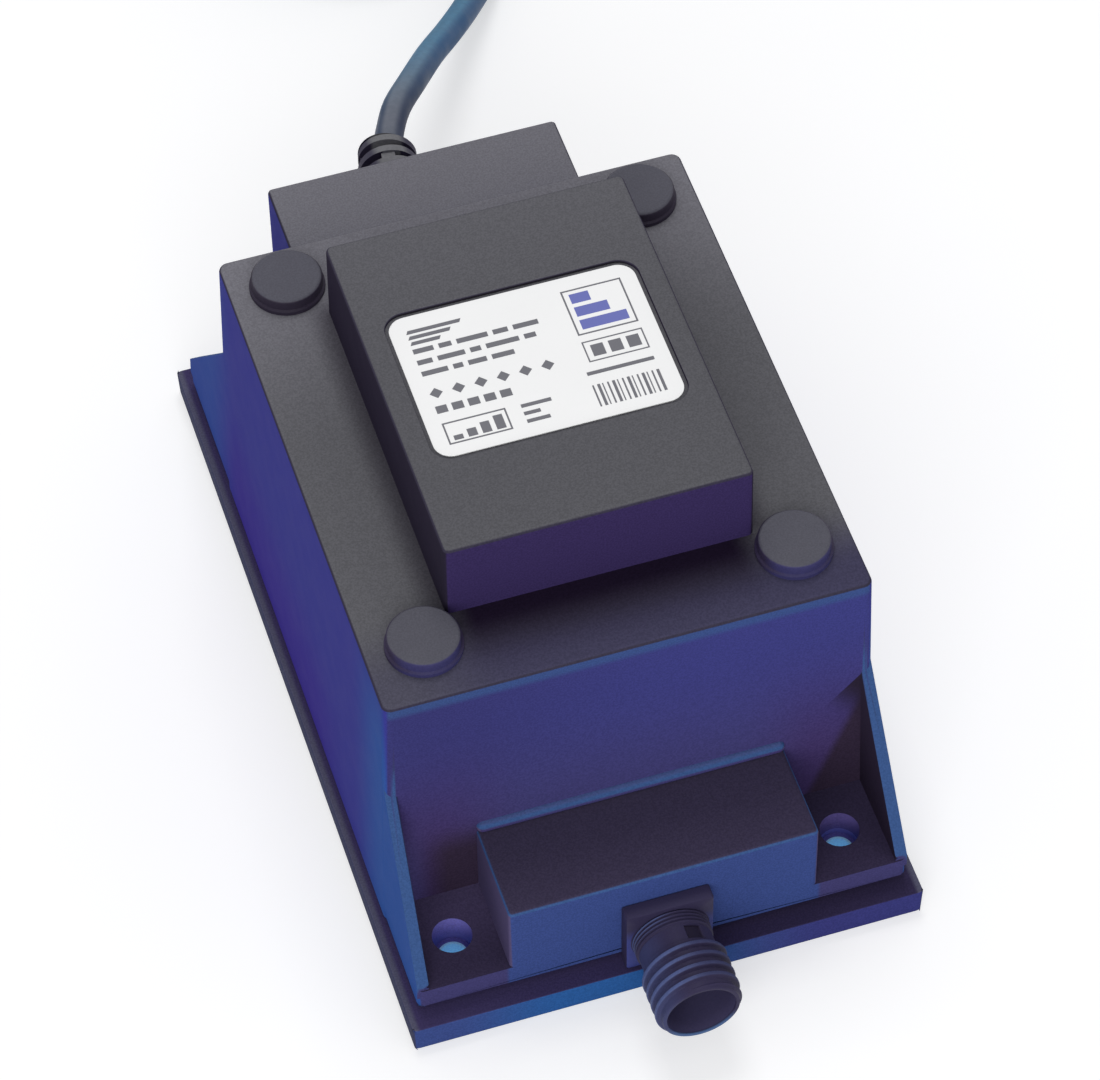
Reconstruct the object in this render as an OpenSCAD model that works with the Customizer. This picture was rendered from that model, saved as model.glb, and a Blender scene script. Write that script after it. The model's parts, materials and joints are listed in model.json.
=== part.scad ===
// Outdoor lighting transformer in a splash-proof box, in millimetres.
// The origin is the centre of the four fixing holes, on the underside of the base plate.
// -Y points to the low-voltage socket, +Y to the mains cord, +Z up.

/* [Base plate] */
// Thickness of the base plate
plate_t = 6.6; // [5.6:0.2:9]
// How far the plate stands out beyond the sides of the cover's foot
plate_side = 2.5; // [2:0.1:5]
// How far the plate stands out beyond the ends of the cover's foot
plate_end = 4.2; // [3:0.1:6]
// How far the plate's sides lean in towards the ground
plate_lean = 0.3; // [0.1:0.1:0.8]
// Radius of the plate's corners
plate_corner_r = 0.8; // [0.6:0.1:3]
// Thickness of the gasket between plate and cover
gasket_t = 1.6; // [1:0.1:2.4]
// How far the gasket's edge is set in from the foot's edge
gasket_inset = 1.4; // [0.8:0.1:2.5]

/* [Cover] */
// Width across the top of the cover
body_w = 100; // [98:1:112]
// Length of the top of the cover
body_l = 120; // [118:1:132]
// Lean of the side walls, in degrees
draft = 1.8; // [0.8:0.1:2.2]
// Lean of the front and back walls, in degrees
end_draft = 0.2; // [0.1:0.1:1.5]
// Wall thickness of the cover
wall = 2.6; // [2:0.1:3]
// Radius of the cover's upright corners
corner_r = 2; // [1.8:0.1:4.5]
// Radius of the cover's top edges
edge_r = 0.9; // [0.5:0.1:1.4]
// Length of the foot in front of the body
front_foot = 21.8; // [20:0.2:28]
// Length of the cord box behind the body
back_foot = 28.8; // [27:0.2:34]
// How far the foot stands out behind the cord box
back_rim = 2.2; // [0.4:0.2:4]
// Radius of the foot's corners
foot_corner_r = 1.5; // [0.6:0.1:3]
// Thickness of the foot
foot_t = 5.4; // [4.6:0.1:7]

/* [Raised block] */
// Width of the block on the top face
block_w = 63; // [60:1:66]
// Length of the block on the top face
block_l = 82; // [80:1:88]
// Height of the block above the top face
block_h = 19.2; // [16:0.2:24]
// Width of the label's recess
label_w = 53; // [44:0.5:56]
// Length of the label's recess
label_l = 38.6; // [30:0.2:44]
// Depth of the label's recess
label_depth = 0.8; // [0.4:0.1:1.2]
// Corner radius of the label
label_r = 4.5; // [2:0.1:6]
// Thickness of the label
label_t = 0.3; // [0.1:0.05:0.4]
// Gap between the label and the edge of its recess
label_gap = 0.8; // [0.2:0.1:1.2]

/* [Socket box and cord box] */
// Width of the box that carries the socket
front_box_w = 65; // [58:1:70]
// Height of that box above the ground
front_box_top = 32.1; // [31:0.1:38]
// Radius of the bead along the wall above that box
bead_r = 1.4; // [0.8:0.1:1.8]
// Width of the box that the mains cord enters
back_box_w = 64; // [56:1:70]
// Height of that box above the ground
back_box_top = 65.7; // [62:0.1:70]

/* [Gussets] */
// Thickness of the webs between wall and foot
gusset_t = 2.5; // [2.2:0.1:4]
// Height of the webs at the wall, above the ground
gusset_top = 51; // [42:1:60]
// Height of the webs' outer ends above the foot
gusset_end = 1.5; // [0.8:0.1:5]

/* [Fixing holes] */
// Distance from the sides of the top face to the fixing holes
fix_side = 8.7; // [7.5:0.1:10]
// Distance from the foot's front, and from the cord box's back, to the fixing holes
fix_inset = 11.1; // [9.5:0.1:12.5]
// Radius of the screw holes in the base plate
fix_r = 2.7; // [2:0.1:3.2]
// Radius of the wider holes in the foot
fix_head_r = 4.1; // [3.6:0.1:4.8]

/* [Cover screws and caps] */
// Distance from the side of the top face to the cap's centre
cap_side = 12.1; // [11:0.1:14]
// Distance from the front of the top face to the front caps' centres
cap_front = 12.9; // [12:0.1:15]
// Distance from the back of the top face to the back caps' centres
cap_back = 10.6; // [10:0.1:13]
// Radius of the round caps
cap_r = 7.35; // [6.6:0.05:8]
// Height of the caps above the top face
cap_h = 3.6; // [2.4:0.1:5]
// How far the bead round the foot of a cap stands out
cap_bead = 0.45; // [0.2:0.05:0.8]
// Length of the cap's stem in its well
cap_stem = 4.6; // [3:0.2:5]
// Radius of the well that holds the stem and the screw head
well_r = 5; // [4.6:0.1:5.2]
// Depth of the well
well_depth = 9; // [8.4:0.2:11]
// Shank radius of the cover screws
cover_screw_r = 2.1; // [1.7:0.1:2.3]
// Head radius of the cover screws
cover_head_r = 4.1; // [3.4:0.1:4.4]
// Head height of the cover screws
cover_head_h = 2.8; // [2:0.1:3.2]
// Wall round the well and the screw
pillar_wall = 1.4; // [1:0.1:1.6]
// Height of the posts on the plate that the cover screws enter
post_h = 8; // [6:0.5:12]

/* [Low-voltage socket] */
// Gap between the socket's flange and the base plate
socket_gap = 0.3; // [0.2:0.1:0.8]
// Width of the socket's square flange
socket_flange_w = 18.4; // [17:0.2:22]
// Height of the socket's square flange
socket_flange_h = 17.8; // [17:0.1:18]
// Thickness of the socket's square flange
socket_flange_t = 3.4; // [2.6:0.1:5]
// Outer radius of the fine ring behind the flange
ring_r = 8.1; // [7.8:0.1:8.6]
// Length of the fine ring
ring_l = 3.4; // [2:0.2:5]
// Radius of the plain collar
collar_r = 7.75; // [7.6:0.05:8]
// Length of the plain collar
collar_l = 4; // [3:0.2:6]
// Outer radius of the coarse thread
thread_r = 9.1; // [8.8:0.1:10]
// Depth of the coarse thread
thread_depth = 1; // [0.6:0.1:1.2]
// Pitch of the coarse thread
thread_pitch = 2.6; // [2:0.1:3.4]
// Number of turns on the coarse thread
thread_turns = 4; // [3:1:6]
// Radius of the socket's mouth
mouth_r = 7.2; // [6.6:0.1:7.3]
// Depth of the mouth, down to the contact carrier
mouth_depth = 9.5; // [8.5:0.1:11]
// Radius of the socket's shank through the wall
shank_r = 5.6; // [5:0.1:5.8]
// Bore radius of the shank
shank_bore_r = 4.3; // [3.8:0.1:4.4]
// Width across the flats of the lock nut
nut_flats = 13.8; // [13:0.2:14]
// Thickness of the lock nut
nut_t = 4; // [3:0.2:6]
// Radius of the contact pins
contact_r = 1.1; // [0.8:0.1:1.4]
// Distance between the contact pins
contact_gap = 4.6; // [3.6:0.1:5.2]
// How far the contact pins stand out of their carrier
contact_out = 4; // [3:0.1:4.4]

/* [Core and windings] */
// Width of one side leg of the core
leg = 13; // [11:0.5:13]
// Height of the lamination stack
stack = 50; // [44:1:52]
// Free height between the core and the cover's top
core_head_room = 4; // [3.6:0.1:5]
// Free height between the windings and the base plate
coil_lift = 3.7; // [2:0.1:8]
// Clearance between the winding and the core's window
window_gap = 0.5; // [0.3:0.1:1]
// Thickness of the bobbin's walls
bobbin_t = 1.2; // [0.8:0.1:1.6]
// Clearance between the bobbin and the core
bobbin_gap = 0.2; // [0.1:0.05:0.4]
// Thickness of the tape round the windings
tape_t = 0.5; // [0.2:0.1:0.8]
// Shank radius of the core screws
core_screw_r = 2; // [1.6:0.1:2.2]
// Head height of the core screws
core_head_h = 2.4; // [1.8:0.1:3]

/* [Cord and plug] */
// Diameter of the mains cord
cord_d = 6.5; // [6:0.1:7]
// Height at which the cord leaves its box, above the ground
cord_z = 37.5; // [36:0.5:40]
// Length of the strain relief's straight stretch
relief_straight = 16.2; // [14:0.2:18]
// Bending radius of the strain relief's end
relief_bend = 34; // [30:1:40]
// Angle through which its end bends
relief_angle = 22; // [18:1:28]
// Slope of that bend, from sideways towards the ground
relief_slope = 20; // [10:1:30]
// Radius of the strain relief's collar
relief_collar_r = 8.4; // [7.6:0.1:9.4]
// Radius of the strain relief at its end rib
relief_end_r = 6.5; // [6:0.1:7.2]
// Number of ribs on the strain relief
relief_ribs = 7; // [5:1:8]
// Length of the plug's body
plug_l = 37; // [34:1:40]
// Width of the plug's body
plug_w = 35.3; // [33:0.1:37]
// Thickness of the plug's body
plug_t = 13.7; // [12.6:0.1:15]
// Length of the plug's pins
plug_pin_l = 19; // [18:0.5:20]
// Distance between the plug's pins
plug_pin_gap = 18.6; // [17.6:0.1:19.6]

/* [Hidden] */
$fn = 48;
eps = 0.02;
slip = 0.2;
grip = 0.05;
corner_steps = 5;

// Levels and outlines of the cover: its height follows from the stack and the windings inside
coil_build = leg - window_gap;
body_top = plate_t + coil_lift + coil_build + stack + core_head_room + wall;
foot_z0 = plate_t + gasket_t;
foot_top = foot_z0 + foot_t;
foot_l = front_foot + body_l + back_foot;
front_y = front_foot - foot_l / 2;
back_y = foot_l / 2 - back_foot;
body_y = (front_y + back_y) / 2;
function lean(z) = tan(draft) * (body_top - z);
function end_lean(z) = tan(end_draft) * (body_top - z);
foot_w = body_w + 2 * lean(foot_top) - 0.4;
base_l = foot_l + back_rim;
base_y = back_rim / 2;
plate_w = foot_w + 2 * plate_side;
plate_l = base_l + 2 * plate_end;
roof_z = body_top - wall;
fix_x = body_w - 2 * fix_side;
fix_y = foot_l - 2 * fix_inset;
fix_points = [for (sx = [-1, 1], sy = [-1, 1]) [sx * fix_x / 2, sy * fix_y / 2]];

// Cover screws and their caps
cap_x = body_w / 2 - cap_side;
cap_front_y = front_y + cap_front;
cap_back_y = back_y - cap_back;
cap_points = [[-cap_x, cap_front_y], [cap_x, cap_front_y], [-cap_x, cap_back_y], [cap_x, cap_back_y]];
pillar_r = well_r + pillar_wall;
post_top = plate_t + post_h;
screw_seat = body_top - well_depth;
cover_screw_z0 = plate_t - 2.5;

// Core and coil: the stack stands upright on posts of the base plate
core_x = 5 * leg;
core_y = 6 * leg;
core_z1 = roof_z - core_head_room;
core_z0 = core_z1 - stack;
core_mid = (core_z0 + core_z1) / 2;
window_x = 3 * leg;
coil_x = window_x - 2 * window_gap;
coil_y = 4 * leg - 2 * window_gap;
coil_z = stack + 2 * coil_build;
core_hole_x = core_x / 2 - leg / 3;
core_hole_y = core_y / 2 - leg / 3;
core_hole_points = [for (sx = [-1, 1], sy = [-1, 1]) [sx * core_hole_x, body_y + sy * core_hole_y]];
core_post_r = leg / 3;
core_screw_z0 = core_z0 - 9;
bore_x = leg * 2 + 2 * bobbin_gap;
bore_z = stack + 2 * bobbin_gap;
partition_t = bobbin_t;
chamber_x = (coil_x - 2 * bobbin_t - partition_t) / 2;
tag_x = coil_x / 2;
tag_z = core_mid + coil_z / 2 - 5;
tag_gap = 14;

// Socket
socket_z = plate_t + socket_gap + socket_flange_h / 2;
socket_face = -foot_l / 2;
ring_y = socket_face - socket_flange_t;
collar_y = ring_y - ring_l;
thread_y = collar_y - collar_l;
thread_l = (thread_turns + 0.75) * thread_pitch;
mouth_y = thread_y - thread_l;
carrier_y = mouth_y + mouth_depth;
box_inner_y = socket_face + wall;
shank_l = wall + nut_t + 1.4;
contact_tail_y = socket_face + shank_l + 3;
carrier_t = 3;
o_ring_r = 0.8;
o_ring_mid_r = shank_r + o_ring_r + 0.5;

// Strain relief and the cord's exit
relief_y = foot_l / 2;
relief_neck_r = cord_d / 2 + 2.2;
relief_inner_l = 3;
exit_x = relief_bend * (1 - cos(relief_angle)) * cos(relief_slope);
exit_y = relief_y + relief_straight + relief_bend * sin(relief_angle);
exit_z = cord_z - relief_bend * (1 - cos(relief_angle)) * sin(relief_slope);
cord_r = cord_d / 2;
tail_l = 12;
tail_y = relief_y - wall - relief_inner_l - tail_l;

// Leads inside the box: they run over the core, behind it and in front of it
lead_r = 1.1;
output_lead_r = 1.4;
core_back = body_y + core_y / 2;
core_front = body_y - core_y / 2;
lane_back = (core_back + back_y - wall) / 2;
lane_front = (core_front + front_y + wall) / 2;
over_z = (core_z1 + roof_z) / 2;
tag_t = 0.8;
tag_l = 5;
tag_w = 4;
tag_near = tag_x + tag_l / 2;
tag_far = tag_x + tag_l + 2.5;
live_route = [[-1.7, tail_y, cord_z], [-1.7, tail_y - 5, cord_z],
    [-4, tail_y - 13, cord_z + 4], [-10, lane_back, cord_z + 12],
    [-17, lane_back - 2, core_z1 - 6], [-20, core_back + 1, over_z], [-tag_far, core_back - 14, over_z + 1],
    [-tag_far, body_y + 2, tag_z - 1], [-tag_near - 1, body_y - tag_gap / 2 + 4, tag_z + tag_t + lead_r],
    [-tag_near, body_y - tag_gap / 2, tag_z + tag_t + lead_r]];
neutral_route = [[1.7, tail_y, cord_z], [1.7, tail_y - 5, cord_z],
    [0, tail_y - 13, cord_z + 4], [-5, lane_back, cord_z + 12],
    [-11, lane_back - 2, core_z1 - 6], [-15, core_back + 1, over_z], [-tag_near, core_back - 12, over_z + 1],
    [-tag_near, body_y + tag_gap / 2 + 6, tag_z + tag_t + lead_r],
    [-tag_near, body_y + tag_gap / 2, tag_z + tag_t + lead_r]];
output_right_route = [[contact_gap / 2, contact_tail_y, socket_z],
    [contact_gap / 2, contact_tail_y + 5, socket_z],
    [7, lane_front - 7, socket_z + 6], [11, lane_front, core_z0 + 10], [17, lane_front, core_mid + 6],
    [20, lane_front + 2, core_z1 - 6], [20, core_front - 1, over_z], [tag_far, core_front + 14, over_z + 1],
    [tag_far, body_y - 2, tag_z - 1], [tag_near + 1, body_y + tag_gap / 2 - 4, tag_z + tag_t + output_lead_r],
    [tag_near, body_y + tag_gap / 2, tag_z + tag_t + output_lead_r]];
output_left_route = [[-contact_gap / 2, contact_tail_y, socket_z],
    [-contact_gap / 2, contact_tail_y + 5, socket_z],
    [0, lane_front - 7, socket_z + 6], [4, lane_front, core_z0 + 10], [10, lane_front, core_mid + 6],
    [14, lane_front + 2, core_z1 - 6], [15, core_front - 1, over_z], [tag_near, core_front + 12, over_z + 1],
    [tag_near, body_y - tag_gap / 2 - 6, tag_z + tag_t + output_lead_r],
    [tag_near, body_y - tag_gap / 2, tag_z + tag_t + output_lead_r]];

// The cord's route from the strain relief over the ground to the coil
cord_route = [[exit_x, exit_y, exit_z], [4.4, 119.7, 35.9], [8.4, 127.9, 34.1], [14.8, 137.8, 30],
    [22.5, 150.4, 23.5], [30.4, 162.6, 16.2], [38.4, 175, 9.6], [46.7, 187.6, 5], [54.2, 199.6, 3.4]];
// The cord's end, down the outside of the coil and on to the plug
tail_route = [[80.8, 240.5, 9.9], [85.7, 253.7, 8.2], [84.8, 267.7, 6], [78.1, 280.1, 4.3],
    [66.8, 288.5, 3.7], [53.1, 291.5, 4.8], [36, 291.5, plug_t / 2], [18, 291.5, plug_t / 2]];
coil_pos = [32, 242];
coil_mid_r = 38.5;
coil_turns_wide = 2;
coil_turns_high = 3;
coil_r0 = coil_mid_r - coil_turns_wide * cord_r;
coil_r1 = coil_mid_r + coil_turns_wide * cord_r;
tie_t = 0.6;
tie_w = 9;
tie_angle = 200;
coil_z0 = tie_t;
coil_h = coil_turns_high * cord_d;
plug_pos = [18, 291.5];
plug_boot_l = 24;
plug_nose_w = 19;
plug_pin_r = 2;

// Flat outlines and solids used more than once
module rounded(w, l, r) {
    square([w - 2 * r, l], center = true);
    square([w, l - 2 * r], center = true);
    for (sx = [-1, 1], sy = [-1, 1]) translate([sx * (w / 2 - r), sy * (l / 2 - r)]) circle(r);
}

// Corner points of a rounded outline at height z, for a solid built up in layers
function outline(w, l, r, z) = [for (c = [0:3], k = [0:corner_steps])
    let (a = 90 * c + 90 * k / corner_steps, sx = c == 0 || c == 3 ? 1 : -1, sy = c < 2 ? 1 : -1)
    [sx * (w / 2 - r) + r * cos(a), sy * (l / 2 - r) + r * sin(a), z]];

// A solid through a list of outlines, all with the same number of points
module layered(outlines) {
    n = len(outlines);
    m = len(outlines[0]);
    walls = [for (i = [0:n - 2], k = [0:m - 1])
        [i * m + k, (i + 1) * m + k, (i + 1) * m + (k + 1) % m, i * m + (k + 1) % m]];
    bottom = [for (k = [0:m - 1]) k];
    top = [for (k = [m - 1:-1:0]) (n - 1) * m + k];
    polyhedron([for (o = outlines) each o], concat(walls, [bottom, top]), convexity = 4);
}

// An upright block with rounded corners, a rounded top edge and sides that spread downwards: spread
// holds how far they do so at the sides and at the ends
module soft_block(w, l, h, spread, corner, edge) {
    tops = [for (a = [0:30:90])
        let (z = h - edge + edge * sin(a), grow = spread * (h - z) / h, shrink = edge * (1 - cos(a)))
        outline(w + 2 * (grow.x - shrink), l + 2 * (grow.y - shrink), corner - shrink / 2, z)];
    layered(concat([outline(w + 2 * spread.x, l + 2 * spread.y, corner, 0)], tops));
}

function unit(v) = v / norm(v);
// Direction of a route at point i
function along(p, i) = unit(p[min(i + 1, len(p) - 1)] - p[max(i - 1, 0)]);
// Points of one ring of a swept tube, square to the route
function ring(p, i, r, sides, up) =
    let (t = along(p, i), u = unit(cross(t, up)), v = cross(u, t))
    [for (k = [0:sides - 1]) p[i] + r * (cos(360 * k / sides) * u + sin(360 * k / sides) * v)];

// A round tube swept along a list of points
module swept(p, r, sides, up) {
    n = len(p);
    points = [for (i = [0:n - 1]) each ring(p, i, r, sides, up)];
    walls = [for (i = [0:n - 2], k = [0:sides - 1])
        [i * sides + k, i * sides + (k + 1) % sides, (i + 1) * sides + (k + 1) % sides, (i + 1) * sides + k]];
    first = [for (k = [sides - 1:-1:0]) k];
    last = [for (k = [0:sides - 1]) (n - 1) * sides + k];
    polyhedron(points, concat(walls, [first, last]), convexity = 6);
}

// A cylinder along -Y that starts at y
module rod(y, l, r) { translate([0, y, socket_z]) rotate([90, 0, 0]) cylinder(l, r, r); }

module base_plate() {
    color("#2c2c3a") difference() {
        union() {
            translate([0, base_y, 0]) layered([
                outline(plate_w - 2 * plate_lean, plate_l, plate_corner_r, 0),
                outline(plate_w, plate_l, plate_corner_r, plate_t)]);
            for (p = cap_points) translate(p) cylinder(post_top, pillar_r, pillar_r);
            for (p = core_hole_points) translate(p) cylinder(core_z0, core_post_r, core_post_r);
        }
        for (p = fix_points) translate([p.x, p.y, -1]) cylinder(plate_t + 2, fix_r, fix_r);
        for (p = cap_points) translate([p.x, p.y, cover_screw_z0 - 0.5])
            cylinder(body_top, cover_screw_r + grip, cover_screw_r + grip);
        for (p = core_hole_points) translate([p.x, p.y, core_screw_z0 - 0.5])
            cylinder(stack, core_screw_r + grip, core_screw_r + grip);
    }
}

module base_gasket() {
    color("#141418") translate([0, 0, plate_t]) linear_extrude(gasket_t) difference() {
        translate([0, base_y]) rounded(foot_w - 2 * gasket_inset, base_l - 2 * gasket_inset, foot_corner_r);
        translate([0, body_y]) rounded(body_w - 2 * wall, body_l - 2 * wall, corner_r);
        for (p = fix_points) translate(p) circle(fix_head_r);
    }
}

// A web between the cover's wall and its foot: end is -1 at the front, 1 at the back
module gusset(side, end) {
    wall_y = end < 0 ? -front_y : back_y;
    inner = wall_y - wall;
    outer = foot_l / 2 - 0.3 + (end < 0 ? 0 : back_rim);
    start = wall_y + end_lean(gusset_top);
    top = gusset_top - foot_top;
    slope = (top - gusset_end) / (outer - start);
    translate([side * (foot_w / 2 + 0.1), 0, foot_top]) rotate([0, -side * draft, 0])
        mirror([side > 0 ? 1 : 0, 0, 0]) mirror([0, end < 0 ? 1 : 0, 0])
            rotate([90, 0, 90]) linear_extrude(gusset_t)
                polygon([[inner, -foot_t / 2], [outer, -foot_t / 2], [outer, gusset_end],
                    [inner, top + slope * (start - inner)]]);
}

module cover_solid() {
    translate([0, body_y, foot_z0]) soft_block(body_w, body_l, body_top - foot_z0,
        [lean(foot_z0), end_lean(foot_z0)], corner_r, edge_r);
    translate([0, body_y, roof_z]) soft_block(block_w, block_l, block_h + wall, [0.2, 0.2], 1.2, edge_r);
    translate([0, base_y, foot_z0]) linear_extrude(foot_t) rounded(foot_w, base_l, foot_corner_r);
    front_l = front_foot + end_lean(foot_z0) + wall / 2;
    translate([0, socket_face + front_l / 2, foot_z0])
        soft_block(front_box_w, front_l, front_box_top - foot_z0, [0, 0], 1, edge_r);
    back_l = back_foot + wall / 2;
    translate([0, relief_y - back_l / 2, foot_z0])
        soft_block(back_box_w, back_l, back_box_top - foot_z0, [0, 0], 1, edge_r);
    for (side = [-1, 1], end = [-1, 1]) gusset(side, end);
    wall_bead();
}

// The bead that lies on the socket's box along the wall, with round ends
module wall_bead() {
    z = front_box_top + bead_r * 0.9;
    end_x = front_box_w / 2 - bead_r;
    translate([0, front_y - end_lean(z), z]) {
        rotate([0, 90, 0]) cylinder(2 * end_x, bead_r, bead_r, center = true);
        for (side = [-1, 1]) translate([side * end_x, 0, 0]) sphere(bead_r, $fn = 24);
    }
}

module cover_hollow() {
    low = foot_z0 - 1;
    inner_w = body_w - 2 * wall;
    inner_l = body_l - 2 * wall;
    translate([0, body_y, 0]) layered([
        outline(inner_w + 2 * lean(low), inner_l + 2 * end_lean(low), corner_r - 1, low),
        outline(inner_w + 2 * lean(roof_z), inner_l + 2 * end_lean(roof_z), corner_r - 1, roof_z)]);
    translate([-block_w / 2 + wall, body_y - block_l / 2 + wall, roof_z - 1])
        cube([block_w - 2 * wall, block_l - 2 * wall, block_h + 1]);
    translate([-front_box_w / 2 + wall, box_inner_y, foot_z0 - 1])
        cube([front_box_w - 2 * wall, front_foot, front_box_top - wall - foot_z0 + 1]);
    translate([-back_box_w / 2 + wall, relief_y - wall - back_foot, foot_z0 - 1])
        cube([back_box_w - 2 * wall, back_foot, back_box_top - wall - foot_z0 + 1]);
}

module housing_cover() {
    color("#3b3a52") difference() {
        union() {
            difference() {
                cover_solid();
                cover_hollow();
            }
            for (p = cap_points) translate([p.x, p.y, post_top])
                cylinder(roof_z - post_top + wall / 2, pillar_r, pillar_r);
        }
        for (p = cap_points) translate([p.x, p.y, 0]) {
            translate([0, 0, screw_seat]) cylinder(well_depth + 1, well_r, well_r);
            translate([0, 0, post_top - 1]) cylinder(body_top, cover_screw_r + slip, cover_screw_r + slip);
        }
        for (p = fix_points) translate([p.x, p.y, foot_z0 - 1]) cylinder(foot_t + 2, fix_head_r, fix_head_r);
        rod(box_inner_y + 1, wall + 2, shank_r + slip);
        translate([0, relief_y + 1, cord_z]) rotate([90, 0, 0])
            cylinder(wall + 2, relief_neck_r, relief_neck_r);
        translate([0, body_y, body_top + block_h - label_depth]) linear_extrude(label_depth + 1)
            rounded(label_w, label_l, label_r);
    }
}

module screw_cap(p) {
    lip = cap_r + cap_bead;
    color("#3a3844") translate([p.x, p.y, body_top]) rotate_extrude() polygon([
        [0, -cap_stem], [well_r - slip, -cap_stem], [well_r - slip, 0], [lip, 0], [lip, cap_h * 0.25],
        [cap_r, cap_h * 0.35], [cap_r, cap_h - 0.6], [cap_r - 0.6, cap_h], [0, cap_h]]);
}
module screw_cap_front_left() { screw_cap(cap_points[0]); }
module screw_cap_front_right() { screw_cap(cap_points[1]); }
module screw_cap_back_left() { screw_cap(cap_points[2]); }
module screw_cap_back_right() { screw_cap(cap_points[3]); }

module cover_screws() {
    slot = cover_head_r * 1.2;
    color("silver") for (p = cap_points) translate([p.x, p.y, 0]) difference() {
        union() {
            translate([0, 0, cover_screw_z0])
                cylinder(screw_seat - cover_screw_z0, cover_screw_r, cover_screw_r);
            translate([0, 0, screw_seat]) cylinder(cover_head_h, cover_head_r, cover_head_r);
        }
        for (turn = [0, 90]) translate([0, 0, screw_seat + cover_head_h]) rotate([0, 0, turn])
            cube([slot, 1, cover_head_h], center = true);
    }
}

module rating_label() {
    color("white") translate([0, body_y, body_top + block_h - label_depth]) linear_extrude(label_t)
        rounded(label_w - 2 * label_gap, label_l - 2 * label_gap, label_r - label_gap);
}

// The coarse thread's outline: ridges of one pitch each, turned round the socket's axis
module thread_ridges() {
    root = thread_r - thread_depth;
    crests = [for (i = [0:thread_turns]) each [
        [root, (i + 0.02) * thread_pitch], [thread_r, (i + 0.27) * thread_pitch],
        [thread_r, (i + 0.45) * thread_pitch], [root, (i + 0.7) * thread_pitch]]];
    translate([0, thread_y, socket_z]) rotate([90, 0, 0]) rotate_extrude()
        polygon(concat([[mouth_r - 1, 0], [root, 0]], crests, [[root, thread_l], [mouth_r - 1, thread_l]]));
}

module output_connector() {
    color("#26263c") difference() {
        union() {
            translate([0, ring_y, socket_z]) rotate([-90, 0, 0]) linear_extrude(socket_flange_t)
                rounded(socket_flange_w, socket_flange_h, 0.8);
            rod(socket_face + shank_l, shank_l + 1, shank_r);
            rod(ring_y + eps, ring_l + eps, ring_r - 0.4);
            for (i = [0:3]) rod(ring_y - ring_l * (i + 0.3) / 4, ring_l / 10, ring_r);
            rod(collar_y, collar_l, collar_r);
            thread_ridges();
        }
        rod(carrier_y + carrier_t, mouth_depth + carrier_t + 1, mouth_r);
        rod(socket_face + shank_l + 1, shank_l + 30, shank_bore_r);
        translate([0, socket_face + 1, socket_z]) rotate([90, 0, 0]) difference() {
            cylinder(1 + 2 * o_ring_r, o_ring_mid_r + o_ring_r + grip, o_ring_mid_r + o_ring_r + grip);
            translate([0, 0, -1]) cylinder(5, o_ring_mid_r - o_ring_r - grip, o_ring_mid_r - o_ring_r - grip);
        }
        translate([0, collar_y - collar_l / 2, socket_z]) rotate([0, -38, 0])
            translate([collar_r - 0.5, -1.3, -1.7]) cube([2, 2.6, 3.4]);
    }
}

module connector_insert() {
    color("#1c1c22") difference() {
        union() {
            rod(carrier_y + carrier_t, carrier_t, mouth_r - grip);
            rod(socket_face + shank_l, socket_face + shank_l - carrier_y - eps, shank_bore_r - grip);
        }
        for (side = [-1, 1]) translate([side * contact_gap / 2, 0, 0])
            rod(socket_face + shank_l + 1, shank_l + 40, contact_r + grip);
    }
}
module contact_pin(side) {
    color("gold") translate([side * contact_gap / 2, 0, 0])
        rod(contact_tail_y, contact_tail_y - carrier_y + contact_out, contact_r);
}
module contact_pin_left() { contact_pin(-1); }
module contact_pin_right() { contact_pin(1); }

module connector_lock_nut() {
    color("#30303a") translate([0, box_inner_y + nut_t, socket_z]) rotate([90, 0, 0]) difference() {
        cylinder(nut_t, nut_flats / 2 / cos(30), nut_flats / 2 / cos(30), $fn = 6);
        translate([0, 0, -1]) cylinder(nut_t + 2, shank_r + grip, shank_r + grip);
    }
}

module connector_o_ring() {
    color("black") translate([0, socket_face - o_ring_r, socket_z]) rotate([90, 0, 0])
        rotate_extrude() translate([o_ring_mid_r, 0]) circle(o_ring_r);
}

// Places a child on the strain relief's middle line, at a length s from the wall
module on_relief(s) {
    turn = max(0, s - relief_straight) / relief_bend * 180 / PI;
    translate([relief_bend, 0, min(s, relief_straight)]) rotate([0, turn, 0]) translate([-relief_bend, 0, 0])
        children();
}

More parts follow.
